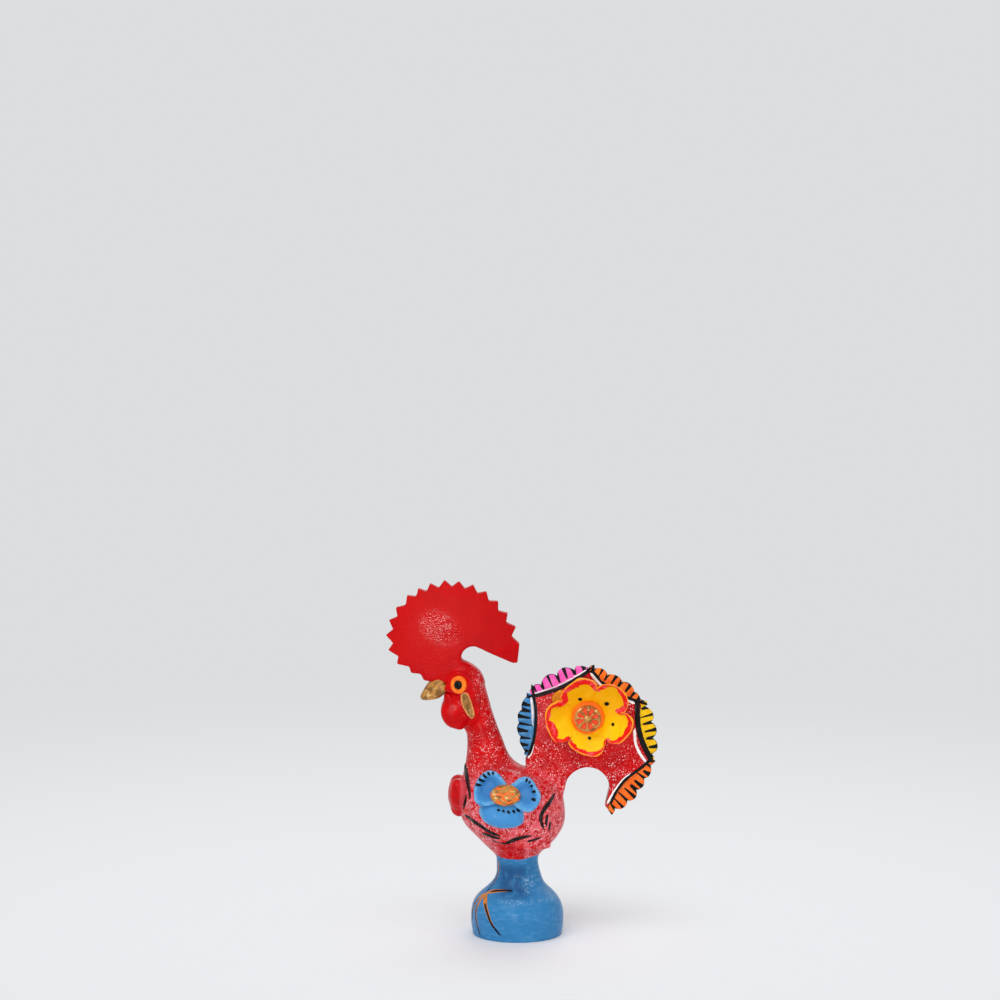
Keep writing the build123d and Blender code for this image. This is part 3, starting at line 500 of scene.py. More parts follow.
def blue_coat(paint, colours):
    """Satin blue with streaks, painted shade at the waist, and a painted highlight on the shoulder and a
    painted glint: colour, roughness, relief.
    """
    x, y, z = paint.millimetres()
    streaks = paint.noise(2.2, 4.0, (1, 1, 2.6))
    upright = paint.noise(1.6, 3.0, (1, 1, 0.25))
    marks = paint.noise(0.7, 3.0).ramp(0.48, 0.66)
    blue = paint.mix(streaks.ramp(0.45, 0.75) * 0.4, colours.foot_blue, colours.foot_light)
    # Painted shade: darker blue on the front of the waist
    waist = z.ramp(10.4, 13.6) * z.ramp(21.8, 18.8) * x.ramp(-7.4, -3.0) * x.ramp(5.6, 0.6)
    blue = paint.mix(waist * (0.5 + 0.5 * upright.ramp(0.30, 0.55)) * 0.85, blue, colours.foot_shade_blue)
    # A painted highlight band on the shoulder and a painted glint higher on the waist, in pale blue marks
    shoulder = z.ramp(10.0, 10.9) * z.ramp(12.0, 11.1) * x.ramp(-7, -3)
    glint = z.ramp(12.2, 14.2) * z.ramp(18.2, 16.6) * x.ramp(1.0, 2.4) * x.ramp(5.4, 4.0)
    blue = paint.mix(marks * (shoulder * 0.4).most(glint * 0.5), blue, srgb(156, 196, 226))
    return blue, 0.22 + 0.12 * streaks, streaks * 0.8 + paint.noise(0.5, 2.0) * 0.5


def skin_finish(name, colours):
    """The painted skin: red above a blue foot, black along the tail's edge, and bare clay inside the foot."""
    paint = Finish(name)
    x, y, z = paint.millimetres()
    red, red_roughness, red_relief = red_coat(paint, colours)
    blue, blue_roughness, blue_relief = blue_coat(paint, colours)
    droop = 0.55 * (abs(x + 1).least(6) / 5) ** 2.0
    above = (z - droop + (paint.noise(2.6, 1.0) - 0.5) * 0.9 - BLUE_HEM).ramp(-0.06, 0.06)
    radius = paint.vector("LENGTH", paint.vector("MULTIPLY", paint.place, (1, 1, 0))).also("Value") / MM
    inside = (11.3 - (z - 7).most(0.0) * 0.73 - radius).ramp(0.0, 0.2) * z.ramp(19, 18)
    under = inside.most(z.ramp(0.06, 0.02))
    clay_colour = paint.mix(paint.noise(1.2, 4.0), colours.clay, srgb(150, 104, 78))
    colour = paint.mix(under, paint.mix(above, blue, red), clay_colour)
    return paint.apply(
        paint.mix(paint.attribute("edge"), colour, colours.black),
        red_roughness * above + (blue_roughness + 0.4 * under) * (1 - above),
        0.10,
        red_relief * above + blue_relief * (1 - above),
        0.05,
    )


def comb_finish(name, colours):
    """Plain red, rubbed glossy on the comb's cheek, where the gloss shows the brush's fine ridges."""
    paint = Finish(name)
    x, y, z = paint.millimetres()
    ridges = paint.noise(0.42, 2.0, (0.22, 1, 1), paint.turned(-12))
    mottle = paint.noise(0.8, 3.0)
    dark = x.ramp(-22, 2) * 0.35 + paint.noise(7.0, 2.0).ramp(0.45, 0.7) * 0.2
    across = (x + 21.4) / 5.6
    up = (z + 0.25 * x - 81.6) / 4.8
    rubbed = (across * across + up * up + (paint.noise(1.2, 3.0) - 0.5) * 1.6).ramp(1.5, 0.6)
    return paint.apply(
        paint.mix(dark, colours.comb_red, colours.dark_red),
        0.42 - 0.29 * rubbed + 0.06 * mottle,
        0.12,
        ridges * (0.3 + 0.6 * rubbed) + mottle * (0.8 - 0.4 * rubbed),
        0.11,
    )


def petal_blue_finish(name, colours):
    """Blue with painted shade in the hollow and a painted highlight on the rim."""
    paint = Finish(name)
    mottle = paint.noise(1.6, 4.0)
    # Painted shade: deeper blue where the coat attribute marks the hollow
    deep = (paint.attribute("coat") + (mottle - 0.5) * 0.8).ramp(0.35, 0.9)
    blue = paint.mix(deep * 0.6, colours.petal_blue, colours.petal_shade_blue)
    # A painted highlight of paler blue along the rim
    pale = (paint.attribute("inset") + mottle * 1.6).ramp(2.2, 1.1) * mottle.ramp(0.36, 0.56)
    colour = paint.mix(pale * 0.8, blue, colours.petal_light)
    return paint.apply(colour, 0.24 + 0.2 * mottle, 0.2, mottle + 0.3 * paint.noise(0.4, 2.0), 0.07)


def tail_petal_finish(name, colours, red_width):
    """Yellow with a brushed red rim of uneven width inside a thin orange edge, darker ochre in patches and as
    painted shade on the upper petals, and painted pink highlights on the red.
    """
    paint = Finish(name)
    x, y, z = paint.millimetres()
    inset = paint.attribute("inset")
    ragged = paint.noise(0.55, 2.0)
    slow = paint.noise(3.6, 1.0)
    mottle = paint.noise(2.0, 4.0)
    width = 0.30 + red_width * (0.78 + 2.4 * (slow - 0.5)) + (ragged - 0.5) * 0.8
    lip = 0.30 + (slow - 0.5) * 0.4
    # Darker ochre in random patches, and painted shade on the upper petals
    ochre_and_top_shade = (mottle.ramp(0.45, 0.75) * 0.4).most(z.ramp(59, 66) * 0.75)
    yellow = paint.mix(ochre_and_top_shade, colours.flower_yellow, srgb(238, 168, 2))
    yellow = paint.mix((inset - lip).ramp(0.15, -0.05), yellow, colours.rim_orange)
    # Painted pink highlights in patches over the red rim
    red = paint.mix(paint.noise(1.5, 2.0).ramp(0.50, 0.62) * 0.75, colours.rim_red, srgb(255, 92, 104))
    red_share = (inset - width).ramp(0.08, -0.08) * (inset - lip + ragged * 0.15).ramp(0.0, 0.12)
    serration = (abs(inset - width) - 0.10).ramp(0.1, 0.0) * paint.noise(0.6, 1.0).ramp(0.58, 0.64)
    colour = paint.mix(serration * 0.6, paint.mix(red_share, yellow, red), srgb(120, 40, 10))
    return paint.apply(colour, 0.28 + 0.18 * mottle, 0.12, mottle + 0.4 * ragged, 0.10)


def frill_finish(name, colours, colour, shade, seed, spacing, bold=1.0):
    """A pleated frill whose grooves and ridges carry black wedges, widest at the tip."""
    paint = Finish(name)
    span = paint.attribute("span")
    pleat = paint.attribute("pleat") * 2.0
    number = paint.math("ROUND", pleat)
    chance = paint.chance(number + seed * 17.0)
    shift = paint.chance(number + seed * 17.0 + 5.3)
    edge = (paint.noise(0.7, 2.0) - 0.5) * 0.22
    width = bold * (0.34 + 0.26 * chance) * (0.16 + 0.84 * span) + edge * span
    off = abs(pleat - number + (shift - 0.5) * 0.22) * spacing
    wedge = (off - width).ramp(0.05, -0.05) * (span - (0.12 + 0.34 * chance)).ramp(0.0, 0.1)
    tips = (span + paint.noise(0.9, 1.0) * 0.06).ramp(0.985, 1.0) * paint.noise(2.0, 1.0).ramp(0.48, 0.55)
    mottle = paint.noise(1.7, 4.0)
    body = paint.mix(mottle.ramp(0.42, 0.72) * 0.6, colour, shade)
    return paint.apply(
        paint.mix(wedge.most(tips * 0.8), body, colours.black), 0.32 + 0.16 * mottle, 0.12, mottle, 0.07
    )


def plain_finish(name, colours, colour, shade, roughness=0.34, depth=0.06):
    """A brushed paint of one colour with soft patches of another."""
    paint = Finish(name)
    mottle = paint.noise(1.7, 4.0)
    hairs = paint.noise(0.5, 2.0, (1, 1, 0.4))
    colour = paint.mix(mottle.ramp(0.42, 0.72) * 0.55, colour, shade)
    return paint.apply(colour, roughness + 0.16 * hairs, 0.15, mottle + 0.5 * hairs, depth)


def heart_finish(name, colours):
    """Red with dark brush marks along its sides and a pinkish edge."""
    paint = Finish(name)
    x, y, z = paint.millimetres()
    marks = paint.noise(1.6, 3.0, (1, 1, 0.35))
    colour = paint.mix(marks.ramp(0.50, 0.62) * 0.4, colours.body_red, colours.dark_red)
    rear = (x + (marks - 0.5) * 0.8).ramp(-16.4, -15.6)
    colour = paint.mix(rear * 0.55, colour, colours.pink_wash_and_sheen)
    low_edge = (abs(y) + (marks - 0.5) * 1.2).ramp(3.4, 4.6) * z.ramp(38, 36)
    colour = paint.mix(low_edge * 0.4, colour, colours.pink_wash_and_sheen)
    return paint.apply(colour, 0.18 + 0.15 * marks, 0.12, marks, 0.07)


def gold_finish(name, colours, slant, size, patches=None, rim=False):
    """Gold brushed over a darker coat, with streaks that slant in the side view."""
    paint = Finish(name)
    streaks = paint.noise(0.9 * size, 3.0, (0.28, 1, 1), paint.turned(slant))
    patch = paint.noise(1.8 * size, 2.0, (0.6, 1, 1), paint.turned(slant))
    colour = paint.mix(streaks.ramp(0.52, 0.66), colours.gold, colours.gold_light)
    colour = paint.mix(patch.ramp(0.54, 0.38) * 0.85, colour, colours.gold_dark)
    if patches is not None:
        colour = paint.mix(paint.attribute("coat").ramp(0.28, 0.5), patches, colour)
    if rim:
        inset = paint.attribute("inset")
        colour = paint.mix(inset.ramp(0.35, 0.75) * 0.55, colour, colours.gold_dark)
        colour = paint.mix(inset.ramp(0.42, 0.22) * 0.8, colour, srgb(232, 150, 92))
    return paint.apply(
        colour, 0.34 + 0.2 * streaks, 0.35, streaks + patch, 0.10, metallic=streaks.ramp(0.45, 0.7) * 0.5
    )


def stroke_finish(name, colours, colour, worn, wear):
    """Paint of a single brush stroke, worn thin along its middle."""
    paint = Finish(name)
    across = paint.attribute("across")
    flat = paint.combine(paint.attribute("along") * 0.5, across * 2.2)
    hairs = paint.node(
        "ShaderNodeTexNoise", {"noise_dimensions": "2D"}, {"Vector": flat, "Scale": 1.0, "Detail": 2.0}
    )
    thin = hairs.ramp(0.50, 0.68) * abs(across).ramp(0.9, 0.4)
    return paint.apply(paint.mix(thin * wear, colour, worn), 0.30 + 0.35 * thin, 0.12, hairs, 0.02)


# How each finish is made: a function, then what it is given, where the name of a user's colour stands for it
RECIPES = {
    "body_red": (skin_finish,),
    "foot": (skin_finish,),
    "comb_red": (comb_finish,),
    "heart": (heart_finish,),
    "petal_blue": (petal_blue_finish,),
    "eye_orange": (plain_finish, "orange", "rim_orange"),
    "collar": (plain_finish, "orange", "rim_orange"),
    "leaf": (plain_finish, srgb(208, 134, 22), "rim_orange"),
    "pupil": (plain_finish, "black", srgb(30, 30, 36), 0.08, 0.01),
    "front_frill": (frill_finish, "frill_blue", "petal_light", 5, 1.84, 1.25),
    "pink_frill": (frill_finish, "pink", srgb(255, 128, 200), 4, 2.2),
    "top_frill": (frill_finish, "orange", "rim_orange", 4, 2.1),
    "rear_frill": (frill_finish, "frill_yellow", srgb(226, 160, 8), 4, 2.0),
    "lower_frill": (frill_finish, "orange", srgb(255, 140, 62), 6, 1.5),
    "beak": (gold_finish, 38, 0.8),
    "lobe": (gold_finish, -70, 0.55, None, True),
    "bloom_centre": (gold_finish, 8, 0.8, "orange"),
    "rosette": (gold_finish, 30, 0.7, srgb(238, 72, 20)),
    "black_stroke": (stroke_finish, "black", "dry_grey", 0.75),
    "black_line": (stroke_finish, "black", "dry_grey", 0.1),
    "white_line": (stroke_finish, "white", "backdrop", 0.5),
    "gold_stroke": (stroke_finish, srgb(206, 128, 56), srgb(100, 56, 22), 0.95),
    **{f"tail_petal_{count}": (tail_petal_finish, width) for count, width in enumerate(RED_RIM_WIDTHS, 1)},
}
FINISHES = {}
PIECES = {}


def finish(name):
    """The finish of that name, made when it is first asked for."""
    if name not in FINISHES:
        colours = bpy.context.scene.rooster_colours
        maker, *given = RECIPES[name]
        given = [getattr(colours, item) if isinstance(item, str) else item for item in given]
        FINISHES[name] = maker(f"{name}_paint", colours, *given)
    return FINISHES[name]


def link(name, data):
    """A new object at the origin that shows a mesh, curve, lamp or camera."""
    made = bpy.data.objects.new(name, data)
    bpy.context.scene.collection.objects.link(made)
    return made


def clay(name, mesh):
    """A clay piece, named apart from the solid that it stands for."""
    PIECES[name] = link(f"{name}_clay", mesh)
    return PIECES[name]


def plain_mesh(made):
    """A new mesh of what an object and its modifiers give."""
    return bpy.data.meshes.new_from_object(made.evaluated_get(bpy.context.evaluated_depsgraph_get()))


def settle(made):
    """Turn what an object's modifiers give into its own plain mesh."""
    mesh = plain_mesh(made)
    made.modifiers.clear()
    made.data = mesh
    return made


@contextmanager
def edited(mesh):
    """A mesh opened for editing and written back at the end."""
    shape = bmesh.new()
    shape.from_mesh(mesh)
    yield shape
    shape.to_mesh(mesh)
    shape.free()


def read(items, key, width=1, kind=float):
    """What the points, faces or corners of a mesh hold, with a row for each."""
    found = np.zeros(len(items) * width, kind)
    items.foreach_get(key, found)
    return found.reshape(-1, width) if width > 1 else found


def coordinates(mesh):
    """The mesh's points in millimetres."""
    return read(mesh.vertices, "co", 3) / MM


def move(mesh, points):
    """Put the mesh's points at places in millimetres."""
    mesh.vertices.foreach_set("co", (points * MM).ravel())
    mesh.update()


def draw_in_tail(mesh):
    """Move the middle of the tail a little forwards, as the photographed rooster has it."""
    points = coordinates(mesh)
    x = points[:, 0]
    above = smooth_step(points[:, 2], 24, 38)
    points[:, 0] -= TAIL_SHIFT * smooth_step(x, 1, 8) * (1 - 0.75 * smooth_step(x, 22, 34)) * above
    move(mesh, points)


def deliver(made, paint, slot, *nodes):
    """Paint a finished piece, tie it to the root body and hide the solids that it stands for."""
    draw_in_tail(made.data)
    made.data.materials.clear()
    made.data.materials.append(finish(paint))
    made.data.shade_smooth()
    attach(made, "root")
    if nodes:
        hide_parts(*nodes)
    return made


def smoothing(made, passes, group=""):
    """Smooth an object, by the weights of a vertex group where one is named."""
    layer = made.modifiers.new("soften", "SMOOTH")
    layer.factor = 0.5
    layer.iterations = passes
    layer.vertex_group = group


def clay_copy(name, nodes, grain, passes=0, plug=None):
    """A soft-edged copy of some nodes, melted into one closed skin by a voxel remesh.

    plug is an upright filling inside them, by its radius, lower end and upper end in millimetres.
    """
    mesh = bpy.data.meshes.new(name)
    with edited(mesh) as shape:
        for node in nodes:
            shape.from_mesh(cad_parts[node].data)
        bmesh.ops.remove_doubles(shape, verts=shape.verts, dist=MERGE_DISTANCE)
        if plug:
            radius, low, high = (length * MM for length in plug)
            filling = bmesh.ops.create_cone(
                shape, cap_ends=True, segments=32, radius1=radius, radius2=radius, depth=high - low
            )
            bmesh.ops.translate(shape, verts=filling["verts"], vec=(0, 0, (high + low) / 2))
    made = clay(name, mesh)
    remesh = made.modifiers.new("melt", "REMESH")
    remesh.mode = "VOXEL"
    remesh.voxel_size = grain
    remesh.use_smooth_shade = True
    if passes:
        smoothing(made, passes)
    return settle(made)


def keep_largest(shape):
    """Delete every loose part of a mesh but the largest, such as the walls of a sealed hollow."""
    waiting = set(shape.verts)
    parts = []
    while waiting:
        front = [waiting.pop()]
        part = list(front)
        while front:
            vertex = front.pop()
            for other in {edge.other_vert(vertex) for edge in vertex.link_edges} & waiting:
                waiting.discard(other)
                part.append(other)
                front.append(other)
        parts.append(part)
    for part in sorted(parts, key=len)[:-1]:
        bmesh.ops.delete(shape, geom=part, context="VERTS")


def smooth_step(values, low, high):
    """0 up to low, 1 from high and smooth between, or falling where high is the smaller."""
    share = np.clip((values - low) / (high - low), 0, 1)
    return share * share * (3 - 2 * share)


def swell(distance, width):
    """1 where the distance is nothing, and falling smoothly to nothing beyond the width."""
    return np.exp(-((distance / width) ** 2))


def distance_to_path(points, path):
    """How far points of the side view lie from a path of straight runs."""
    best = np.full(len(points), np.inf)
    for start, end in zip(path, path[1:]):
        start, run = np.array(start, float), np.array(end, float) - np.array(start, float)
        share = np.clip((points - start) @ run / (run @ run), 0, 1)
        best = np.minimum(best, np.linalg.norm(points - start - share[:, None] * run, axis=1))
    return best


def swells(points):
    """How far the clay stands out where it was pushed up, at eyes, cheeks, throat, crown and waist."""
    flat = points[:, [0, 2]]
    height = points[:, 2]

    def from_spot(spot):
        return np.hypot(flat[:, 0] - spot[0], flat[:, 1] - spot[1])

    push = 0.40 * swell(from_spot(EYE) - 2.8, 0.5) + 0.60 * swell(distance_to_path(flat, CHEEK_RIDGE), 0.5)
    push = (push + 1.4 * swell(from_spot(CHEEK), 2.0)) * smooth_step(np.abs(points[:, 1]), 1.5, 3.0)
    for depth, spot, width in THROAT_SWELLS:
        push += depth * swell(from_spot(spot), width)
    push += 0.30 * swell(distance_to_path(flat, CROWN_RIDGE), 0.8) + 0.45 * swell(height - 20.5, 3.4)
    push += 0.75 * smooth_step(points[:, 0], 0, 4) * swell(height - 16.6, 2.6)
    return push + 0.12 * smooth_step(height, 0.8, 3.0) * smooth_step(height, 18.0, 14.0)


def edge_spots(number, shares, out):
    """Spots beside one of the tail's edges: how far along, and how many millimetres outwards."""
    start, end = np.array(TAIL_CORNERS[number]), np.array(TAIL_CORNERS[number + 1])
    run = end - start
    outward = np.array([-run[1], run[0]]) / np.linalg.norm(run)
    return start + np.outer(shares, run) + np.outer(out, outward)


def inward_bow(number, share):
    """How far outwards one of the tail's edges lies, which is less than nothing because it bows inwards."""
    return -4 * EDGE_BOWS[number] * share * (1 - share)


def push_out(made, amounts):
    """Move a mesh's points along their normals by amounts in millimetres."""
    move(made.data, coordinates(made.data) + read(made.data.vertices, "normal", 3) * amounts[:, None])


def soften(made, amounts, passes):
    """Smooth a mesh by a share at each point."""
    steps = 20
    group = made.vertex_groups.new(name="soften")
    levels = np.round(amounts * steps).astype(int)
    for level in range(1, steps + 1):
        group.add(np.flatnonzero(levels == level).tolist(), level / steps, "REPLACE")
    smoothing(made, passes, group.name)
    settle(made)
    made.vertex_groups.clear()


def wobble(made, size, depth, seed=0.0, amounts=1.0):
    """Push points along their normals by slow noise, as a hand leaves clay."""
    push = [noise.noise(Vector(point / size + seed)) for point in coordinates(made.data)]
    push_out(made, np.array(push) * depth * amounts)


def part_off(shape, name, cut_point, cut_normal, belongs):
    """Cut a piece off along a plane, where faces belong to it, into a mesh of its own. Both get caps."""

    def height(face):
        return (face.calc_center_median() - cut_point).dot(cut_normal)

    near = {
        face for face in shape.faces
        if abs(height(face)) < CUT_REACH and belongs(face.calc_center_median(), CUT_REACH)
    }
    geometry = [
        *near,
        *{edge for face in near for edge in face.edges},
        *{vertex for face in near for vertex in face.verts},
    ]
    bmesh.ops.bisect_plane(
        shape, geom=geometry, plane_co=cut_point, plane_no=cut_normal, dist=MERGE_DISTANCE / 2
    )
    shape.faces.ensure_lookup_table()
    shape.faces.index_update()
    chosen = [face for face in shape.faces if height(face) > 0 and belongs(face.calc_center_median(), 0.0)]
    numbers = {face.index for face in chosen}
    piece = shape.copy()
    rest = [face for face in piece.faces if face.index not in numbers]
    bmesh.ops.delete(piece, geom=rest, context="FACES")
    bmesh.ops.delete(shape, geom=chosen, context="FACES")
    for part in (piece, shape):
        rim = [edge for edge in part.edges if edge.is_boundary]
        caps = bmesh.ops.holes_fill(part, edges=rim, sides=0)["faces"]
        layer = part.faces.layers.int["cap"]
        for face in caps:
            face[layer] = 1
        bmesh.ops.triangulate(part, faces=caps)
    return clay_from(name, piece)


def clay_from(name, shape):
    """A clay piece of what was edited."""
    mesh = bpy.data.meshes.new(name)
    shape.to_mesh(mesh)
    shape.free()
    return clay(name, mesh)


def keep_normals(mesh):
    """Shade a cut piece with the uncut skin's normals, and its caps flat, so that no seam shows."""
    held = read(mesh.attributes["skin_normal"].data, "vector", 3)
    normals = held[read(mesh.loops, "vertex_index", kind=int)]
    for index in np.flatnonzero(read(mesh.attributes["cap"].data, "value", kind=int)):
        face = mesh.polygons[index]
        normals[face.loop_start:face.loop_start + face.loop_total] = face.normal
    normals[np.linalg.norm(normals, axis=1) < 0.5] = (0, 0, 1)
    mesh.shade_smooth()
    mesh.normals_split_custom_set(normals.tolist())


def smooth_loop(points, steps):
    """Points along a closed, smooth curve through given points."""
    spots = np.array(points, float)
    count = len(spots)
    share = np.linspace(0, 1, steps, endpoint=False)[:, None]
    found = []
    for i in range(count):
        before, here, there, after = (spots[(i + k) % count] for k in (-1, 0, 1, 2))
        bend = -before + 3 * here - 3 * there + after
        lean = 2 * before - 5 * here + 4 * there - after
        found.append(0.5 * (2 * here + (there - before) * share + lean * share**2 + bend * share**3))
    return np.concatenate(found)


def closed_rings(name, rings, **attributes):
    """A closed mesh over rings of equal count, with a cap on the first and the last."""
    count = len(rings[0])
    faces = [tuple(range(count)), tuple(range((len(rings) - 1) * count, len(rings) * count))]
    for near in range(0, (len(rings) - 1) * count, count):
        far = near + count
        for i in range(count):
            j = (i + 1) % count
            faces.append((near + i, near + j, far + j, far + i))
    mesh = bpy.data.meshes.new(name)
    mesh.from_pydata((np.concatenate(rings) * MM).tolist(), [], faces)
    for key, values in attributes.items():
        layer = mesh.attributes.new(key, "FLOAT", "POINT")
        layer.data.foreach_set("value", np.concatenate(values).astype(np.float32))
    with edited(mesh) as shape:
        bmesh.ops.recalc_face_normals(shape, faces=shape.faces)
    return clay(name, mesh)


def side_view(side):
    """Place a relief on the left or right of the middle plane."""
    return lambda spots, out: np.stack([spots[:, 0], SIDES[side] * out, spots[:, 1]], axis=1)


def front_view(spots, out):
    """Place a relief on the breast, facing forwards."""
    return np.stack([-out, spots[:, 0], spots[:, 1]], axis=1)


def relief(name, outline, place, top, back, rim, coat=None, centre=None, steps=10, levels=16, counts=None):
    """A closed clay piece raised off a flat outline.

    top gives the distance out of its face from points, their share of the way from the centre to the outline,
    and their distance from the outline. back is its hidden back's distance out, or gives it from the points.
    rim is the radius of its rounded edge. coat gives how much of a second paint a point takes. counts says
    which points of the outline the distance is taken from.
    """
    edge = smooth_loop(outline, steps)
    middle = edge.mean(0) if centre is None else np.array(centre, float)
    size = np.linalg.norm(edge - middle, axis=1).mean()
    counted = edge if counts is None else edge[counts(edge)]
    plan = [(share, None) for share in (0.03, 0.4, 0.7, 0.9)]
    plan += [(1 - rim / size * (1 - cos(a)), rim * (1 - sin(a))) for a in np.linspace(0, pi / 2, 7)]
    plan += [(share, 0.0) for share in np.linspace(1 - rim / size, 0.02, levels)[1:]]
    rings, insets, coats = [], [], []
    for share, drop in plan:
        spots = middle + (edge - middle) * share
        inset = np.sqrt(((spots[:, None] - counted[None]) ** 2).sum(2)).min(1)
        nothing = np.zeros(len(spots))
        if drop is None:
            out = back(spots) if callable(back) else back
        else:
            out = top(spots, share, inset) - drop
        rings.append(place(spots, out + nothing))
        insets.append(nothing if drop is None else inset)
        coats.append(coat(spots, share, inset) + nothing if coat else nothing)
    return closed_rings(name, rings, inset=insets, coat=coats)


def pebble(name, outline, depth, middle, levels=14):
    """A closed piece with the same bulge to both sides of its side-view outline."""
    edge = smooth_loop(outline, 10)
    rings = []
    for angle in np.linspace(-pi / 2, pi / 2, 2 * levels + 1)[1:-1]:
        spots = middle + (edge - middle) * cos(angle) ** 0.32
        rings.append(np.stack([spots[:, 0], sin(angle) * depth(spots), spots[:, 1]], axis=1))
    return closed_rings(name, rings)


class StrokeTree(Tree):
    """The node tree that lays brush strokes on a surface.

    Each stroke is a curve in the side view. It becomes a flat closed ribbon, whose points are thrown at the
    target sideways, or towards the upright axis where Round is on, and rest on what they hit.
    """

    def __init__(self):
        super().__init__(bpy.data.node_groups.new("Brush strokes", "GeometryNodeTree"))
        for kind, names in (
            ("Geometry", ("Strokes",)),
            ("Object", ("Surface",)),
            ("Bool", ("Round",)),
            ("Material", ("Paint",)),
            ("Float", ("Side", "Round radius", "Step", "Taper", "Film share")),
            ("Float", ("Lift", "Wobble", "Narrowing", "Miss distance")),
        ):
            for name in names:
                self.tree.interface.new_socket(name, in_out="INPUT", socket_type=f"NodeSocket{kind}")
        self.tree.interface.new_socket("Ribbons", in_out="OUTPUT", socket_type="NodeSocketGeometry")
        self.given = self.node("NodeGroupInput").also
        self.position = self.node("GeometryNodeInputPosition")
        laid = self.node(
            "GeometryNodeSetPosition", inputs={"Geometry": self.ribbon(), "Position": self.resting()}
        )
        laid = self.node("GeometryNodeRealizeInstances", inputs={"Geometry": laid})
        painted = {"Geometry": laid, "Material": self.given("Paint")}
        laid = self.node("GeometryNodeSetMaterial", inputs=painted)
        leave = self.tree.nodes.new("NodeGroupOutput")
        self.tree.links.new(laid.socket, leave.inputs[0])

    def store(self, geometry, name, value):
        """Keep a number at each point as an attribute."""
        return self.node(
            "GeometryNodeStoreNamedAttribute",
            {"data_type": "FLOAT", "domain": "POINT"},
            {"Geometry": geometry, "Name": name, "Value": value},
        )

    def choose(self, test, otherwise, chosen):
        """One of two vectors."""
        return self.node(
            "GeometryNodeSwitch",
            {"input_type": "VECTOR"},
            {"Switch": test, "False": otherwise, "True": chosen},
        )

    def ribbon(self):
        """The flat ribbon along each stroke, round at its ends and uneven in its width."""
        given = self.given
        curve = self.node(
            "GeometryNodeCurveSplineType", {"spline_type": "CATMULL_ROM"}, {"Curve": given("Strokes")}
        )
        curve = self.node(
            "GeometryNodeResampleCurve", {"mode": "LENGTH"}, {"Curve": curve, "Length": given("Step")}
        )
        share = self.node("GeometryNodeSplineParameter")
        passed = share.also("Length")
        whole = self.node("GeometryNodeSplineLength", output="Length")
        radius = self.node("GeometryNodeInputRadius")
        to_end = passed.least(whole - passed) / (radius * given("Taper"))
        cap = self.math("SQRT", (1 - (1 - to_end.least(1.0)) ** 2.0).most(0.004))
        uneven = self.node("ShaderNodeTexNoise", inputs={"Vector": self.position, "Scale": 1 / (1.1 * MM)})
        width = radius * cap * (1 + (uneven - 0.5) * given("Wobble")) * (1 - given("Narrowing") * share)
        curve = self.store(curve, "along", passed / MM)
        curve = self.node(
            "GeometryNodeSetCurveNormal", {"mode": "FREE"}, {"Curve": curve, "Normal": (0, 1, 0)}
        )
        profile = self.node("GeometryNodeCurvePrimitiveCircle", inputs={"Resolution": 12, "Radius": 1.0})
        profile = self.store(profile, "across", self.axes(self.position)[1])
        flat = self.combine(given("Film share"), 1.0, 1.0)
        profile = self.node("GeometryNodeTransform", inputs={"Geometry": profile, "Scale": flat})
        return self.node(
            "GeometryNodeCurveToMesh",
            inputs={"Curve": curve, "Profile Curve": profile, "Scale": width, "Fill Caps": True},
        )

    def resting(self):
        """Where the ribbon's points come to rest on the surface, or where they stay if they miss it."""
        given = self.given
        x, y, z = self.axes(self.position)
        angle = x / given("Round radius")
        inwards = self.combine(self.math("SINE", angle), self.math("COSINE", angle) * -1.0)
        way = self.choose(given("Round"), self.combine(y=given("Side")), inwards)
        start = self.choose(given("Round"), self.combine(x, 0.0, z), self.combine(z=z))
        target = self.node(
            "GeometryNodeObjectInfo",
            {"transform_space": "RELATIVE"},
            {"Object": given("Surface")},
            "Geometry",
        )
        ray = self.node(
            "GeometryNodeRaycast",
            inputs={
                "Target Geometry": target,
                "Source Position": self.vector("ADD", start, self.scaled(way, THROW)),
                "Ray Direction": self.scaled(way, -1.0),
                "Ray Length": THROW,
            },
            output="Is Hit",
        )
        rise = y * given("Side") + given("Lift")
        hit = self.vector("ADD", ray.also("Hit Position"), self.scaled(ray.also("Hit Normal"), rise))
        missed = self.vector("ADD", start, self.scaled(way, rise + given("Miss distance")))
        return self.choose(ray, missed, hit)


def brush(name, strokes, surface, side, paint, slot, taper, film, lift=0.0, uneven=0.5, around=False,
          miss=1.3, narrowing=0.0, fineness=1.0):
    """Lay a group of strokes, each a half width and its points in millimetres, on a surface."""
    group = bpy.data.node_groups.get("Brush strokes") or StrokeTree().tree
    data = bpy.data.curves.new(name, "CURVE")
    data.dimensions = "3D"
    for half_width, path in strokes:
        spline = data.splines.new("POLY")
        spline.points.add(len(path) - 1)
        for point, (first, second) in zip(spline.points, path):
            point.co = (first * MM, 0, second * MM, 1)
            point.radius = half_width * MM
    made = link(name, data)
    layer = made.modifiers.new("brush", "NODES")
    layer.node_group = group
    values = {
        "Surface": surface, "Side": float(SIDES[side]), "Round": around, "Round radius": FOOT_RADIUS * MM,
        "Step": bpy.context.scene.rooster_sizes.stroke_step * fineness, "Taper": taper, "Film share": film,
        "Lift": lift * MM, "Wobble": uneven, "Narrowing": narrowing, "Miss distance": miss * MM,
        "Paint": finish(paint),
    }
    for item in group.interface.items_tree:
        if item.item_type == "SOCKET" and item.in_out == "INPUT" and item.name in values:
            layer[item.identifier] = values[item.name]
    mesh = plain_mesh(made)
    bpy.data.objects.remove(made)
    bpy.data.curves.remove(data)
    if not len(mesh.polygons):
        raise RuntimeError(f"no stroke of {name} was laid")
    return deliver(link(name, mesh), paint, slot)


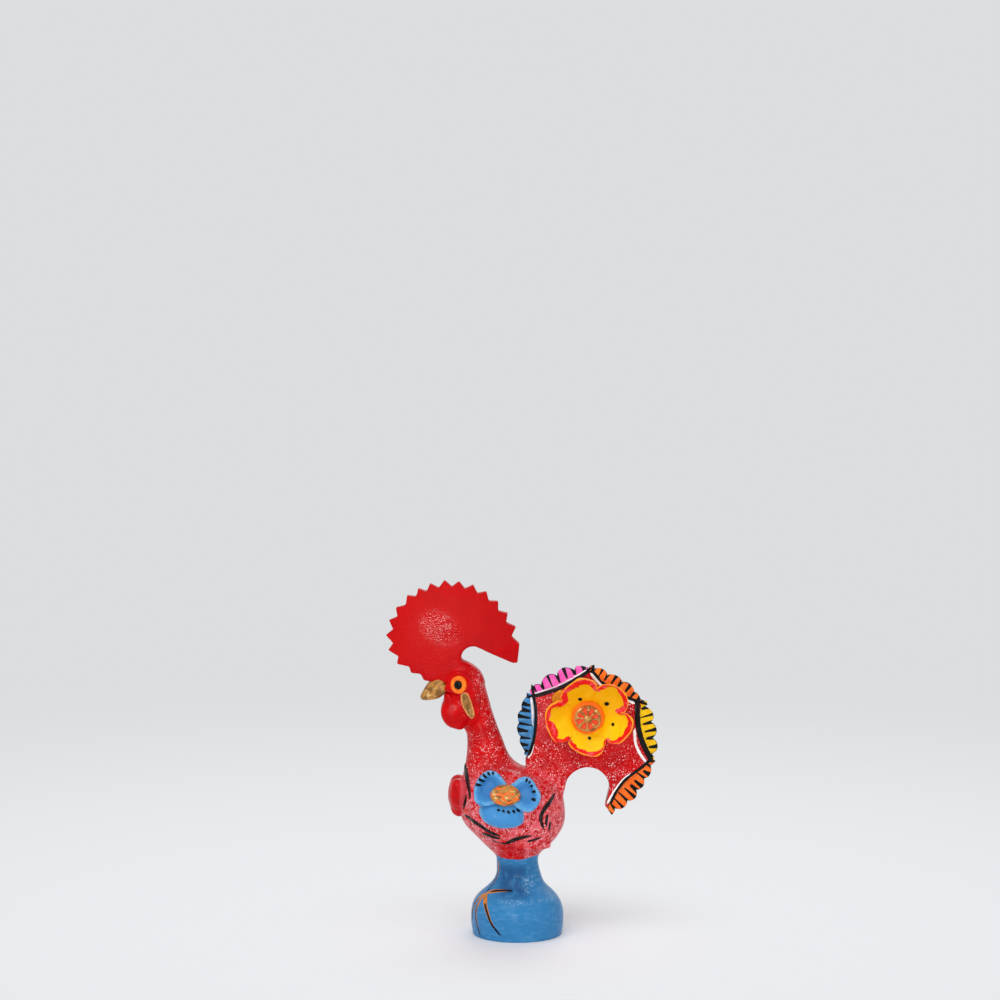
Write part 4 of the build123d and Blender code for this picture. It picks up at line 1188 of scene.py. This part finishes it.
class ROOSTER_OT_skin(bpy.types.Operator):
    """Melt body, comb, tail, wings and foot into one painted skin, then part it at the joints"""

    bl_idname = "rooster.skin"
    bl_label = "Painted skin"

    def execute(self, context):
        skin = self.melt(context.scene.rooster_sizes)
        shape = bmesh.new()
        shape.from_mesh(skin.data)
        normal_layer = shape.verts.layers.float_vector.new("skin_normal")
        shape.faces.layers.int.new("cap")
        shape.normal_update()
        for vertex in shape.verts:
            vertex[normal_layer] = vertex.normal
        for name, (x0, z0), (x1, z1), belongs in (
            ("comb", *COMB_CUT, lambda spot, slack: spot.x < 2.5 * MM and spot.z > 69 * MM),
            ("tail_plate", *TAIL_CUT, lambda spot, slack: spot.x > 0.4 * MM - slack),
        ):
            normal = Vector((z0 - z1, 0, x1 - x0)).normalized()
            part_off(shape, name, Vector((x0, 0, z0)) * MM, normal, belongs)
        part_off(shape, "foot", Vector((0, 0, FOOT_SEAM * MM)), Vector((0, 0, -1)), lambda spot, slack: True)
        part_off(shape, "body_left", Vector(), Vector((0, -1, 0)), lambda spot, slack: True)
        clay_from("body_right", shape)
        for name in ("comb", "tail_plate", "foot", "body_left", "body_right"):
            keep_normals(PIECES[name].data)
        self.blacken_edge(PIECES["tail_plate"].data)
        deliver(PIECES["comb"], "comb_red", "comb_red_paint", "comb")
        deliver(PIECES["tail_plate"], "body_red", "body_red_paint", "tail_plate")
        deliver(PIECES["foot"], "foot", "blue_paint", "foot")
        for side in SIDES:
            nodes = (f"body_shell_{side}", f"{side}_wing", f"{side}_wattle")
            deliver(PIECES[f"body_{side}"], "body_red", "body_red_paint", *nodes)
        return {"FINISHED"}

    def melt(self, sizes):
        """The skin in one piece, smooth at its joints and uneven as a hand leaves it."""
        grain = sizes.skin_grain * 1.0
        skin = clay_copy("skin", SKIN_NODES, grain, plug=FOOT_PLUG)
        with edited(skin.data) as shape:
            keep_largest(shape)
        points = coordinates(skin.data)
        amounts = np.where(points[:, 2] > 75, 0.0, 0.1)
        for path, full, none in SOFT_JOINTS:
            amounts = np.maximum(amounts, smooth_step(distance_to_path(points[:, [0, 2]], path), none, full))
        soften(skin, amounts, 70)
        push_out(skin, swells(coordinates(skin.data)))
        off_floor = smooth_step(coordinates(skin.data)[:, 2], 0.5, 4.0)
        wobble(skin, 6.5, sizes.hand_wobble / MM, amounts=off_floor)
        return skin

    def blacken_edge(self, mesh):
        """Mark the tail's rounded outer edge, which the black lines cover."""
        points = coordinates(mesh)
        facing = np.abs(read(mesh.attributes["skin_normal"].data, "vector", 3)[:, 1])
        near = np.full(len(points), np.inf)
        for number, ends in enumerate(BLACK_SHARES):
            shares = np.linspace(*ends, 9)
            path = edge_spots(number, shares, inward_bow(number, shares))
            near = np.minimum(near, distance_to_path(points[:, [0, 2]], path))
        black = smooth_step(near, 1.7, 1.2) * smooth_step(facing, 0.8, 0.65)
        mesh.attributes.new("edge", "FLOAT", "POINT").data.foreach_set("value", black)


class ROOSTER_OT_face(bpy.types.Operator):
    """Model beak, eyes and ear lobes"""

    bl_idname = "rooster.face"
    bl_label = "Face"

    def execute(self, context):
        grain = context.scene.rooster_sizes.piece_grain
        self.beak()
        for side in SIDES:
            ring = clay_copy(f"{side}_eye_ring", [f"{side}_eye_ring"], grain, 10)
            self.narrow(ring.data, 0.89, 0.97)
            wobble(ring, 1.6, 0.12, seed=2.0)
            deliver(ring, "eye_orange", "orange_paint", f"{side}_eye_ring")
            pupil = clay_copy(f"{side}_pupil", [f"{side}_pupil"], grain * 0.8, 8)
            self.narrow(pupil.data, 0.93, 0.97)
            deliver(pupil, "pupil", "black_paint", f"{side}_pupil")
            lobe = relief(f"{side}_ear_lobe", LOBE_OUTLINE, side_view(side), self.lobe_top, 3.6, 0.45)
            wobble(lobe, 1.2, 0.14, seed=1.0)
            deliver(lobe, "lobe", "gold_paint", f"{side}_ear_lobe")
        return {"FINISHED"}

    def beak(self):
        """A bulging beak with a shallow line for the mouth."""
        beak = pebble(
            "beak",
            BEAK_OUTLINE,
            lambda spots: 0.8 + 2.5 * smooth_step(spots[:, 0], -27.4, -22.4),
            BEAK_MIDDLE,
        )
        points = coordinates(beak.data)
        points[:, 1] *= 1 - 0.16 * swell(distance_to_path(points[:, [0, 2]], MOUTH_LINE), 0.3)
        move(beak.data, points)
        wobble(beak, 2.6, 0.22, seed=4.0)
        deliver(beak, "beak", "gold_paint", "beak")

    def narrow(self, mesh, wide, high):
        """Shrink a mesh in the side view about its own middle and lower it a little."""
        points = coordinates(mesh)
        middle = ((points.min(0) + points.max(0)) / 2)[[0, 2]]
        points[:, [0, 2]] = middle + (points[:, [0, 2]] - middle) * (wide, high) - (0, EYE_DROP)
        move(mesh, points)

    def lobe_top(self, spots, share, inset):
        return 5.25 + 0.4 * smooth_step(share, 0.45, 0.8) + 0.35 * (1 - share) ** 3


class ROOSTER_OT_heart(bpy.types.Operator):
    """Model the heart on the breast"""

    bl_idname = "rooster.heart"
    bl_label = "Breast heart"

    def execute(self, context):
        heart = relief(
            "breast_heart", HEART_OUTLINE, front_view,
            lambda spots, share, inset: 19.4 - 1.7 * share**2.2 - 0.3 * swell(spots[:, 0], 0.8) * share,
            13.6, 1.2, centre=HEART_MIDDLE, levels=20,
        )
        wobble(heart, 3.0, 0.2)
        deliver(heart, "heart", "body_red_paint", "breast_heart")
        return {"FINISHED"}


def seen_side(side, spots):
    """Spots of a flank flower, set lower on the far side, where nothing of it is seen above the back."""
    drop = 0.25 if side == "right" else 0.0
    return [(x, z - drop * max(0, z - 42)) for x, z in spots]


class ROOSTER_OT_flank_flowers(bpy.types.Operator):
    """Model the blue flower on each flank"""

    bl_idname = "rooster.flank_flowers"
    bl_label = "Flank flowers"

    def execute(self, context):
        slope = tan(radians(24))

        def hollow(spots, share, inset):
            return 1 - smooth_step(share, 0.30, 0.92)

        def dished(spots, share, inset):
            return 13.75 - slope * (spots[:, 1] - BLOOM_HEIGHT) - 1.75 * hollow(spots, share, inset)

        def shallow(spots, share, inset):
            depth = 1.4 * hollow(spots, share, inset) * smooth_step(spots[:, 1], 38.5, 43.0)
            return 13.75 - slope * (spots[:, 1] - BLOOM_HEIGHT) - depth

        def pillow(spots, share, inset):
            return 14.75 - 0.06 * (spots[:, 1] - 36.0) - 1.3 * share**2

        def dome(spots, share, inset):
            return 16.0 - 0.25 * (spots[:, 1] - BLOOM_HEIGHT) - 1.5 * share**2

        def ridges(spots, share, inset):
            lines = [noise.noise(Vector((x / 1.15, z / 1.15 * 1.5, 0.0))) for x, z in spots]
            return (0.5 + 0.9 * np.array(lines)).clip(0, 1)

        for side, way in SIDES.items():
            place = side_view(side)
            # The hollow also sets where the front and rear petals take their painted shade
            for key, outline, top, rim, coat in (
                ("front", FRONT_PETAL, dished, 0.95, hollow),
                ("rear", REAR_PETAL, shallow, 1.15, hollow),
                ("lower", LOWER_PETAL, pillow, 1.9, None),
            ):
                name = f"{side}_flank_petal_{key}"
                petal = relief(name, seen_side(side, outline), place, top, 8.0, rim, coat, levels=20)
                wobble(petal, 3.4, 0.35, seed=3.0)
                deliver(petal, "petal_blue", "blue_paint", name)
            name = f"{side}_flank_centre"
            centre = relief(name, BLOOM_CENTRE, place, dome, 10.0, 0.9, ridges, steps=14, levels=26)
            self.raise_ridges(centre.data, 0.42 * way)
            deliver(centre, "bloom_centre", "gold_paint", name)
        return {"FINISHED"}

    def raise_ridges(self, mesh, height):
        """Raise a relief's face where its second paint is thick."""
        coats = read(mesh.attributes["coat"].data, "value")
        insets = read(mesh.attributes["inset"].data, "value")
        points = coordinates(mesh)
        points[:, 1] += height * (coats - 0.5) * smooth_step(insets, 0.0, 0.6)
        move(mesh, points)


class ROOSTER_OT_frills(bpy.types.Operator):
    """Pleat the five frills along the tail's outer edges"""

    bl_idname = "rooster.frills"
    bl_label = "Frills"

    def execute(self, context):
        for number, (key, (paint, slot, *form)) in enumerate(FRILLS.items()):
            name = f"tail_frill_{key}"
            frill = self.pleat(name, number, *form)
            wobble(frill, 2.0, 0.16, seed=float(number))
            deliver(frill, paint, slot, name)
        mesh = bpy.data.meshes.new("tail_surface")
        with edited(mesh) as shape:
            for name in ("skin", *(f"tail_frill_{key}" for key in FRILLS)):
                shape.from_mesh(PIECES[name].data)
        clay("tail_surface", mesh)
        return {"FINISHED"}

    def pleat(self, name, number, lobes, first_notch, notch_depth, fan, tips):
        """A frill of closed sections, which know how far out and in which pleat they are."""
        turn = np.linspace(0, 2 * pi, 28, endpoint=False)
        span = (1 - np.cos(turn)) / 2
        faces = np.sign(np.sin(turn)) * np.abs(np.sin(turn)) ** 0.55
        rings, pleats = [], []
        for share in np.linspace(tips[0][0] + 0.002, 0.998, round(40 * lobes)):
            pleat = (share - first_notch) * lobes + ceil(first_notch * lobes)
            reach = np.interp(share, *zip(*tips)) - notch_depth * (1 - abs(sin(pi * pleat)) ** 0.6)
            root = inward_bow(number, share) - 0.7
            out = root + (max(reach, root + 1.2) - root) * span
            groove = 0.24 * (0.5 + 0.5 * cos(2 * pi * pleat)) + 0.16 * (0.5 + 0.5 * cos(4 * pi * pleat))
            thick = FRILL_THICKNESS + (FRILL_TIP_THICKNESS - FRILL_THICKNESS) * span
            thick = thick * (1 - groove * smooth_step(span, 0.1, 0.5))
            spots = edge_spots(number, share + fan * (share - 0.5) * span, out)
            rings.append(np.stack([spots[:, 0], faces * thick / 2, spots[:, 1]], axis=1))
            pleats.append(np.full(len(span), pleat))
        return closed_rings(name, rings, span=[span] * len(rings), pleat=pleats)


class ROOSTER_OT_tail_flowers(bpy.types.Operator):
    """Model petals, collar, rosette and leaf of the yellow flower on each face of the tail"""

    bl_idname = "rooster.tail_flowers"
    bl_label = "Tail flowers"

    def execute(self, context):
        middle = np.array(FLOWER_CENTRE)

        def from_middle(spots):
            return np.linalg.norm(spots - middle, axis=1)

        def cup(spots, share, inset):
            inner = CUP_RADIUS - PETAL_WALL
            bowl = PLATE_FACE + CUP_RADIUS - np.sqrt(inner**2 - np.minimum(from_middle(spots), 12.6) ** 2)
            return bowl - 0.25 + 0.5 * smooth_step(inset, 0.9, 0.3)

        def cup_back(spots):
            bowl = PLATE_FACE + CUP_RADIUS - np.sqrt(CUP_RADIUS**2 - from_middle(spots) ** 2)
            return np.maximum(bowl - 0.5, PLATE_FACE - 0.6)

        def spokes(spots, share, inset):
            turn = np.arctan2(spots[:, 1] - middle[1], spots[:, 0] - middle[0])
            rays = smooth_step(np.cos(8 * turn + 0.4), 0.1, 0.8) * smooth_step(share, 0.22, 0.36)
            ring = smooth_step(share, 0.80, 0.90)
            button = smooth_step(share, 0.36, 0.26)
            return np.maximum(np.maximum(rays * 0.9, ring), button)

        def rosette_top(spots, share, inset):
            button = 0.75 * np.sqrt(max(0.0, 1 - (share / 0.34) ** 2))
            return 8.0 + 0.5 * spokes(spots, share, inset) + button - 0.15 * share

        def collar_top(spots, share, inset):
            return 6.5 + 0.5 * smooth_step(share, 0.95, 0.8) - 0.5 * smooth_step(share, 0.8, 0.7)

        def leaf_top(spots, share, inset):
            return 4.6 - 0.5 * share**2 + 0.25 * smooth_step(share, 0.6, 0.9)

        for side in SIDES:
            place = side_view(side)
            for number, outline in enumerate(TAIL_PETALS):
                key = f"tail_petal_{number + 1}"
                petal = relief(
                    f"{side}_{key}", outline, place, cup, cup_back, 0.6, levels=24,
                    counts=lambda edge: from_middle(edge) > OUTER_EDGE_FROM,
                )
                wobble(petal, 3.2, 0.35, seed=5.0 + number)
                deliver(petal, key, "flower_yellow_paint", f"{side}_{key}")
            for key, spot, radius, top, back, rim, unevenness, slot in (
                ("collar", middle, 4.55, collar_top, 4.2, 0.5, 0.2, "orange_paint"),
                ("rosette", middle, 3.65, rosette_top, 5.0, 0.4, 0.25, "gold_paint"),
                ("leaf", LEAF_MIDDLE, 2.65, leaf_top, 2.4, 0.6, 0.3, "orange_paint"),
            ):
                turns = np.linspace(0, 2 * pi, 12, endpoint=False)
                ring = np.stack([spot[0] + radius * np.cos(turns), spot[1] + radius * np.sin(turns)], axis=1)
                made = relief(f"{side}_tail_{key}", ring, place, top, back, rim, spokes, levels=30)
                wobble(made, 1.4, unevenness, seed=9.0)
                deliver(made, key, slot, f"{side}_tail_{key}")
        return {"FINISHED"}


class ROOSTER_OT_brushwork(bpy.types.Operator):
    """Lay every painted stroke, line and dot"""

    bl_idname = "rooster.brushwork"
    bl_label = "Brushwork"

    def execute(self, context):
        skin, tail = PIECES["skin"], PIECES["tail_surface"]
        black = ("black_line", "black_paint")
        for side in SIDES:
            flank = ("black_stroke", "black_paint", 5.0, 0.14)
            brush(f"{side}_flank_strokes", BODY_STROKES, skin, side, *flank, narrowing=0.3)
            brush(
                f"{side}_white_borders", WHITE_BORDERS, tail, side, "white_line", None, 4.0, 0.14, lift=0.06
            )
            brush(f"{side}_black_borders", BLACK_BORDERS, tail, side, *black, 3.0, 0.18, lift=0.08)
            for key, marks in PETAL_MARKS.items():
                strokes = [(0.50, seen_side(side, mark)) for mark in marks]
                brush(
                    f"{side}_{key}_petal_marks", strokes, PIECES[f"{side}_flank_petal_{key}"], side, *black,
                    1.2, 0.16, miss=10.0, narrowing=0.6, fineness=0.5,
                )
            for number, *dot in FLOWER_DOTS:
                brush(
                    f"{side}_petal_{number}_dot", [dot], PIECES[f"{side}_tail_petal_{number}"], side, *black,
                    1.0, 0.2, uneven=0.2, fineness=0.36,
                )
        self.toes(PIECES["foot"])
        for surface in (skin, tail):
            bpy.data.objects.remove(surface)
        return {"FINISHED"}

    def toes(self, foot):
        """Gold bird's feet with black middles, on both sides of the foot."""
        gold = []
        for mirror in (1, -1):
            for half_width, path in FOOT_STROKES:
                turned = [(radians((angle + 90) * mirror - 90) * FOOT_RADIUS, z) for angle, z in path]
                gold.append((half_width, turned))
        black = [(half_width * 0.42, path[1:]) for half_width, path in gold]
        for name, strokes, paint, slot, film, lift, narrowing in (
            ("foot_toes_gold", gold, "gold_stroke", "gold_paint", 0.16, 0.0, 0.75),
            ("foot_toes_black", black, "black_line", "black_paint", 0.2, 0.05, 0.2),
        ):
            brush(name, strokes, foot, "left", paint, slot, 5.0, film, lift, around=True, narrowing=narrowing)


class ROOSTER_OT_stage(bpy.types.Operator):
    """Set the pale studio, the lamps and the camera"""

    bl_idname = "rooster.stage"
    bl_label = "Studio"

    def execute(self, context):
        colours = context.scene.rooster_colours
        self.floor(colours)
        self.lamps(context.scene.rooster_sizes)
        self.camera(context.scene)
        world = bpy.data.worlds.new("studio")
        world.use_nodes = True
        context.scene.world = world
        tree = Tree(world.node_tree)
        dim = (WORLD_LIGHT, WORLD_LIGHT, WORLD_LIGHT, 1)
        colour = tree.mix(tree.background_seen(), dim, colours.backdrop)
        world.node_tree.links.new(colour.socket, world.node_tree.nodes["Background"].inputs["Color"])
        context.scene.view_settings.view_transform = "Standard"
        return {"FINISHED"}

    def floor(self, colours):
        """A round floor that fades into the background's colour away from the rooster."""
        mesh = bpy.data.meshes.new("studio_floor")
        with edited(mesh) as shape:
            bmesh.ops.create_circle(shape, cap_ends=True, segments=96, radius=FLOOR_RADIUS)
        paint = Finish("studio_floor_paint")
        away = paint.vector("LENGTH", paint.place).also("Value")
        glow = paint.mix(away.ramp(0.08, 0.9 * FLOOR_RADIUS), colours.floor_glow, colours.backdrop)
        shine = paint.node("ShaderNodeEmission", inputs={"Color": glow})
        share = away.ramp(*FLOOR_FADE) * paint.background_seen()
        lit = Value(paint, paint.shader.outputs[0])
        mixed = paint.node("ShaderNodeMixShader", inputs={0: share, 1: lit, 2: shine})
        paint.tree.links.new(mixed.socket, paint.tree.nodes["Material Output"].inputs["Surface"])
        mesh.materials.append(paint.apply(colours.floor, 0.6, 0.2))
        link("studio_floor", mesh)

    def lamps(self, sizes):
        """Soft lamps high on the left, low beside the camera, on the right and behind."""
        aim = Vector((0, 0, 0.05))
        for name, spot, size in LAMPS:
            data = bpy.data.lights.new(f"{name}_lamp", "AREA")
            data.energy = getattr(sizes, f"{name}_power")
            data.size = size
            lamp = link(f"{name}_lamp", data)
            lamp.location = spot
            lamp.rotation_euler = (aim - Vector(spot)).to_track_quat("-Z", "Y").to_euler()

    def camera(self, scene):
        """Look at the rooster's left side from a metre away and a little above."""
        data = bpy.data.cameras.new("camera")
        data.sensor_width = 36.0
        data.lens = CAMERA_LENS
        scene.camera = link("camera", data)
        scene.camera.location = CAMERA_PLACE
        scene.camera.rotation_euler = (radians(CAMERA_TILT), 0, 0)


class ROOSTER_PT_panel(bpy.types.Panel):
    """The rooster's steps, sizes and paints"""

    bl_idname = "ROOSTER_PT_panel"
    bl_label = "Painted Rooster"
    bl_space_type = "VIEW_3D"
    bl_region_type = "UI"
    bl_category = "Rooster"

    def draw(self, context):
        for step in STEPS:
            self.layout.operator(step.bl_idname)
        for group in (context.scene.rooster_sizes, context.scene.rooster_colours):
            for key in group.__annotations__:
                self.layout.prop(group, key)


STEPS = (
    ROOSTER_OT_skin, ROOSTER_OT_heart, ROOSTER_OT_face, ROOSTER_OT_flank_flowers, ROOSTER_OT_frills,
    ROOSTER_OT_tail_flowers, ROOSTER_OT_brushwork, ROOSTER_OT_stage,
)
CLASSES = (RoosterSizes, RoosterColours, *STEPS, ROOSTER_PT_panel)


def register():
    for kind in CLASSES:
        bpy.utils.register_class(kind)
    bpy.types.Scene.rooster_sizes = PointerProperty(type=RoosterSizes)
    bpy.types.Scene.rooster_colours = PointerProperty(type=RoosterColours)


def unregister():
    del bpy.types.Scene.rooster_colours
    del bpy.types.Scene.rooster_sizes
    for kind in reversed(CLASSES):
        bpy.utils.unregister_class(kind)


def main():
    register()
    for step in STEPS:
        family, name = step.bl_idname.split(".")
        getattr(getattr(bpy.ops, family), name)()


if __name__ == "__main__":
    main()
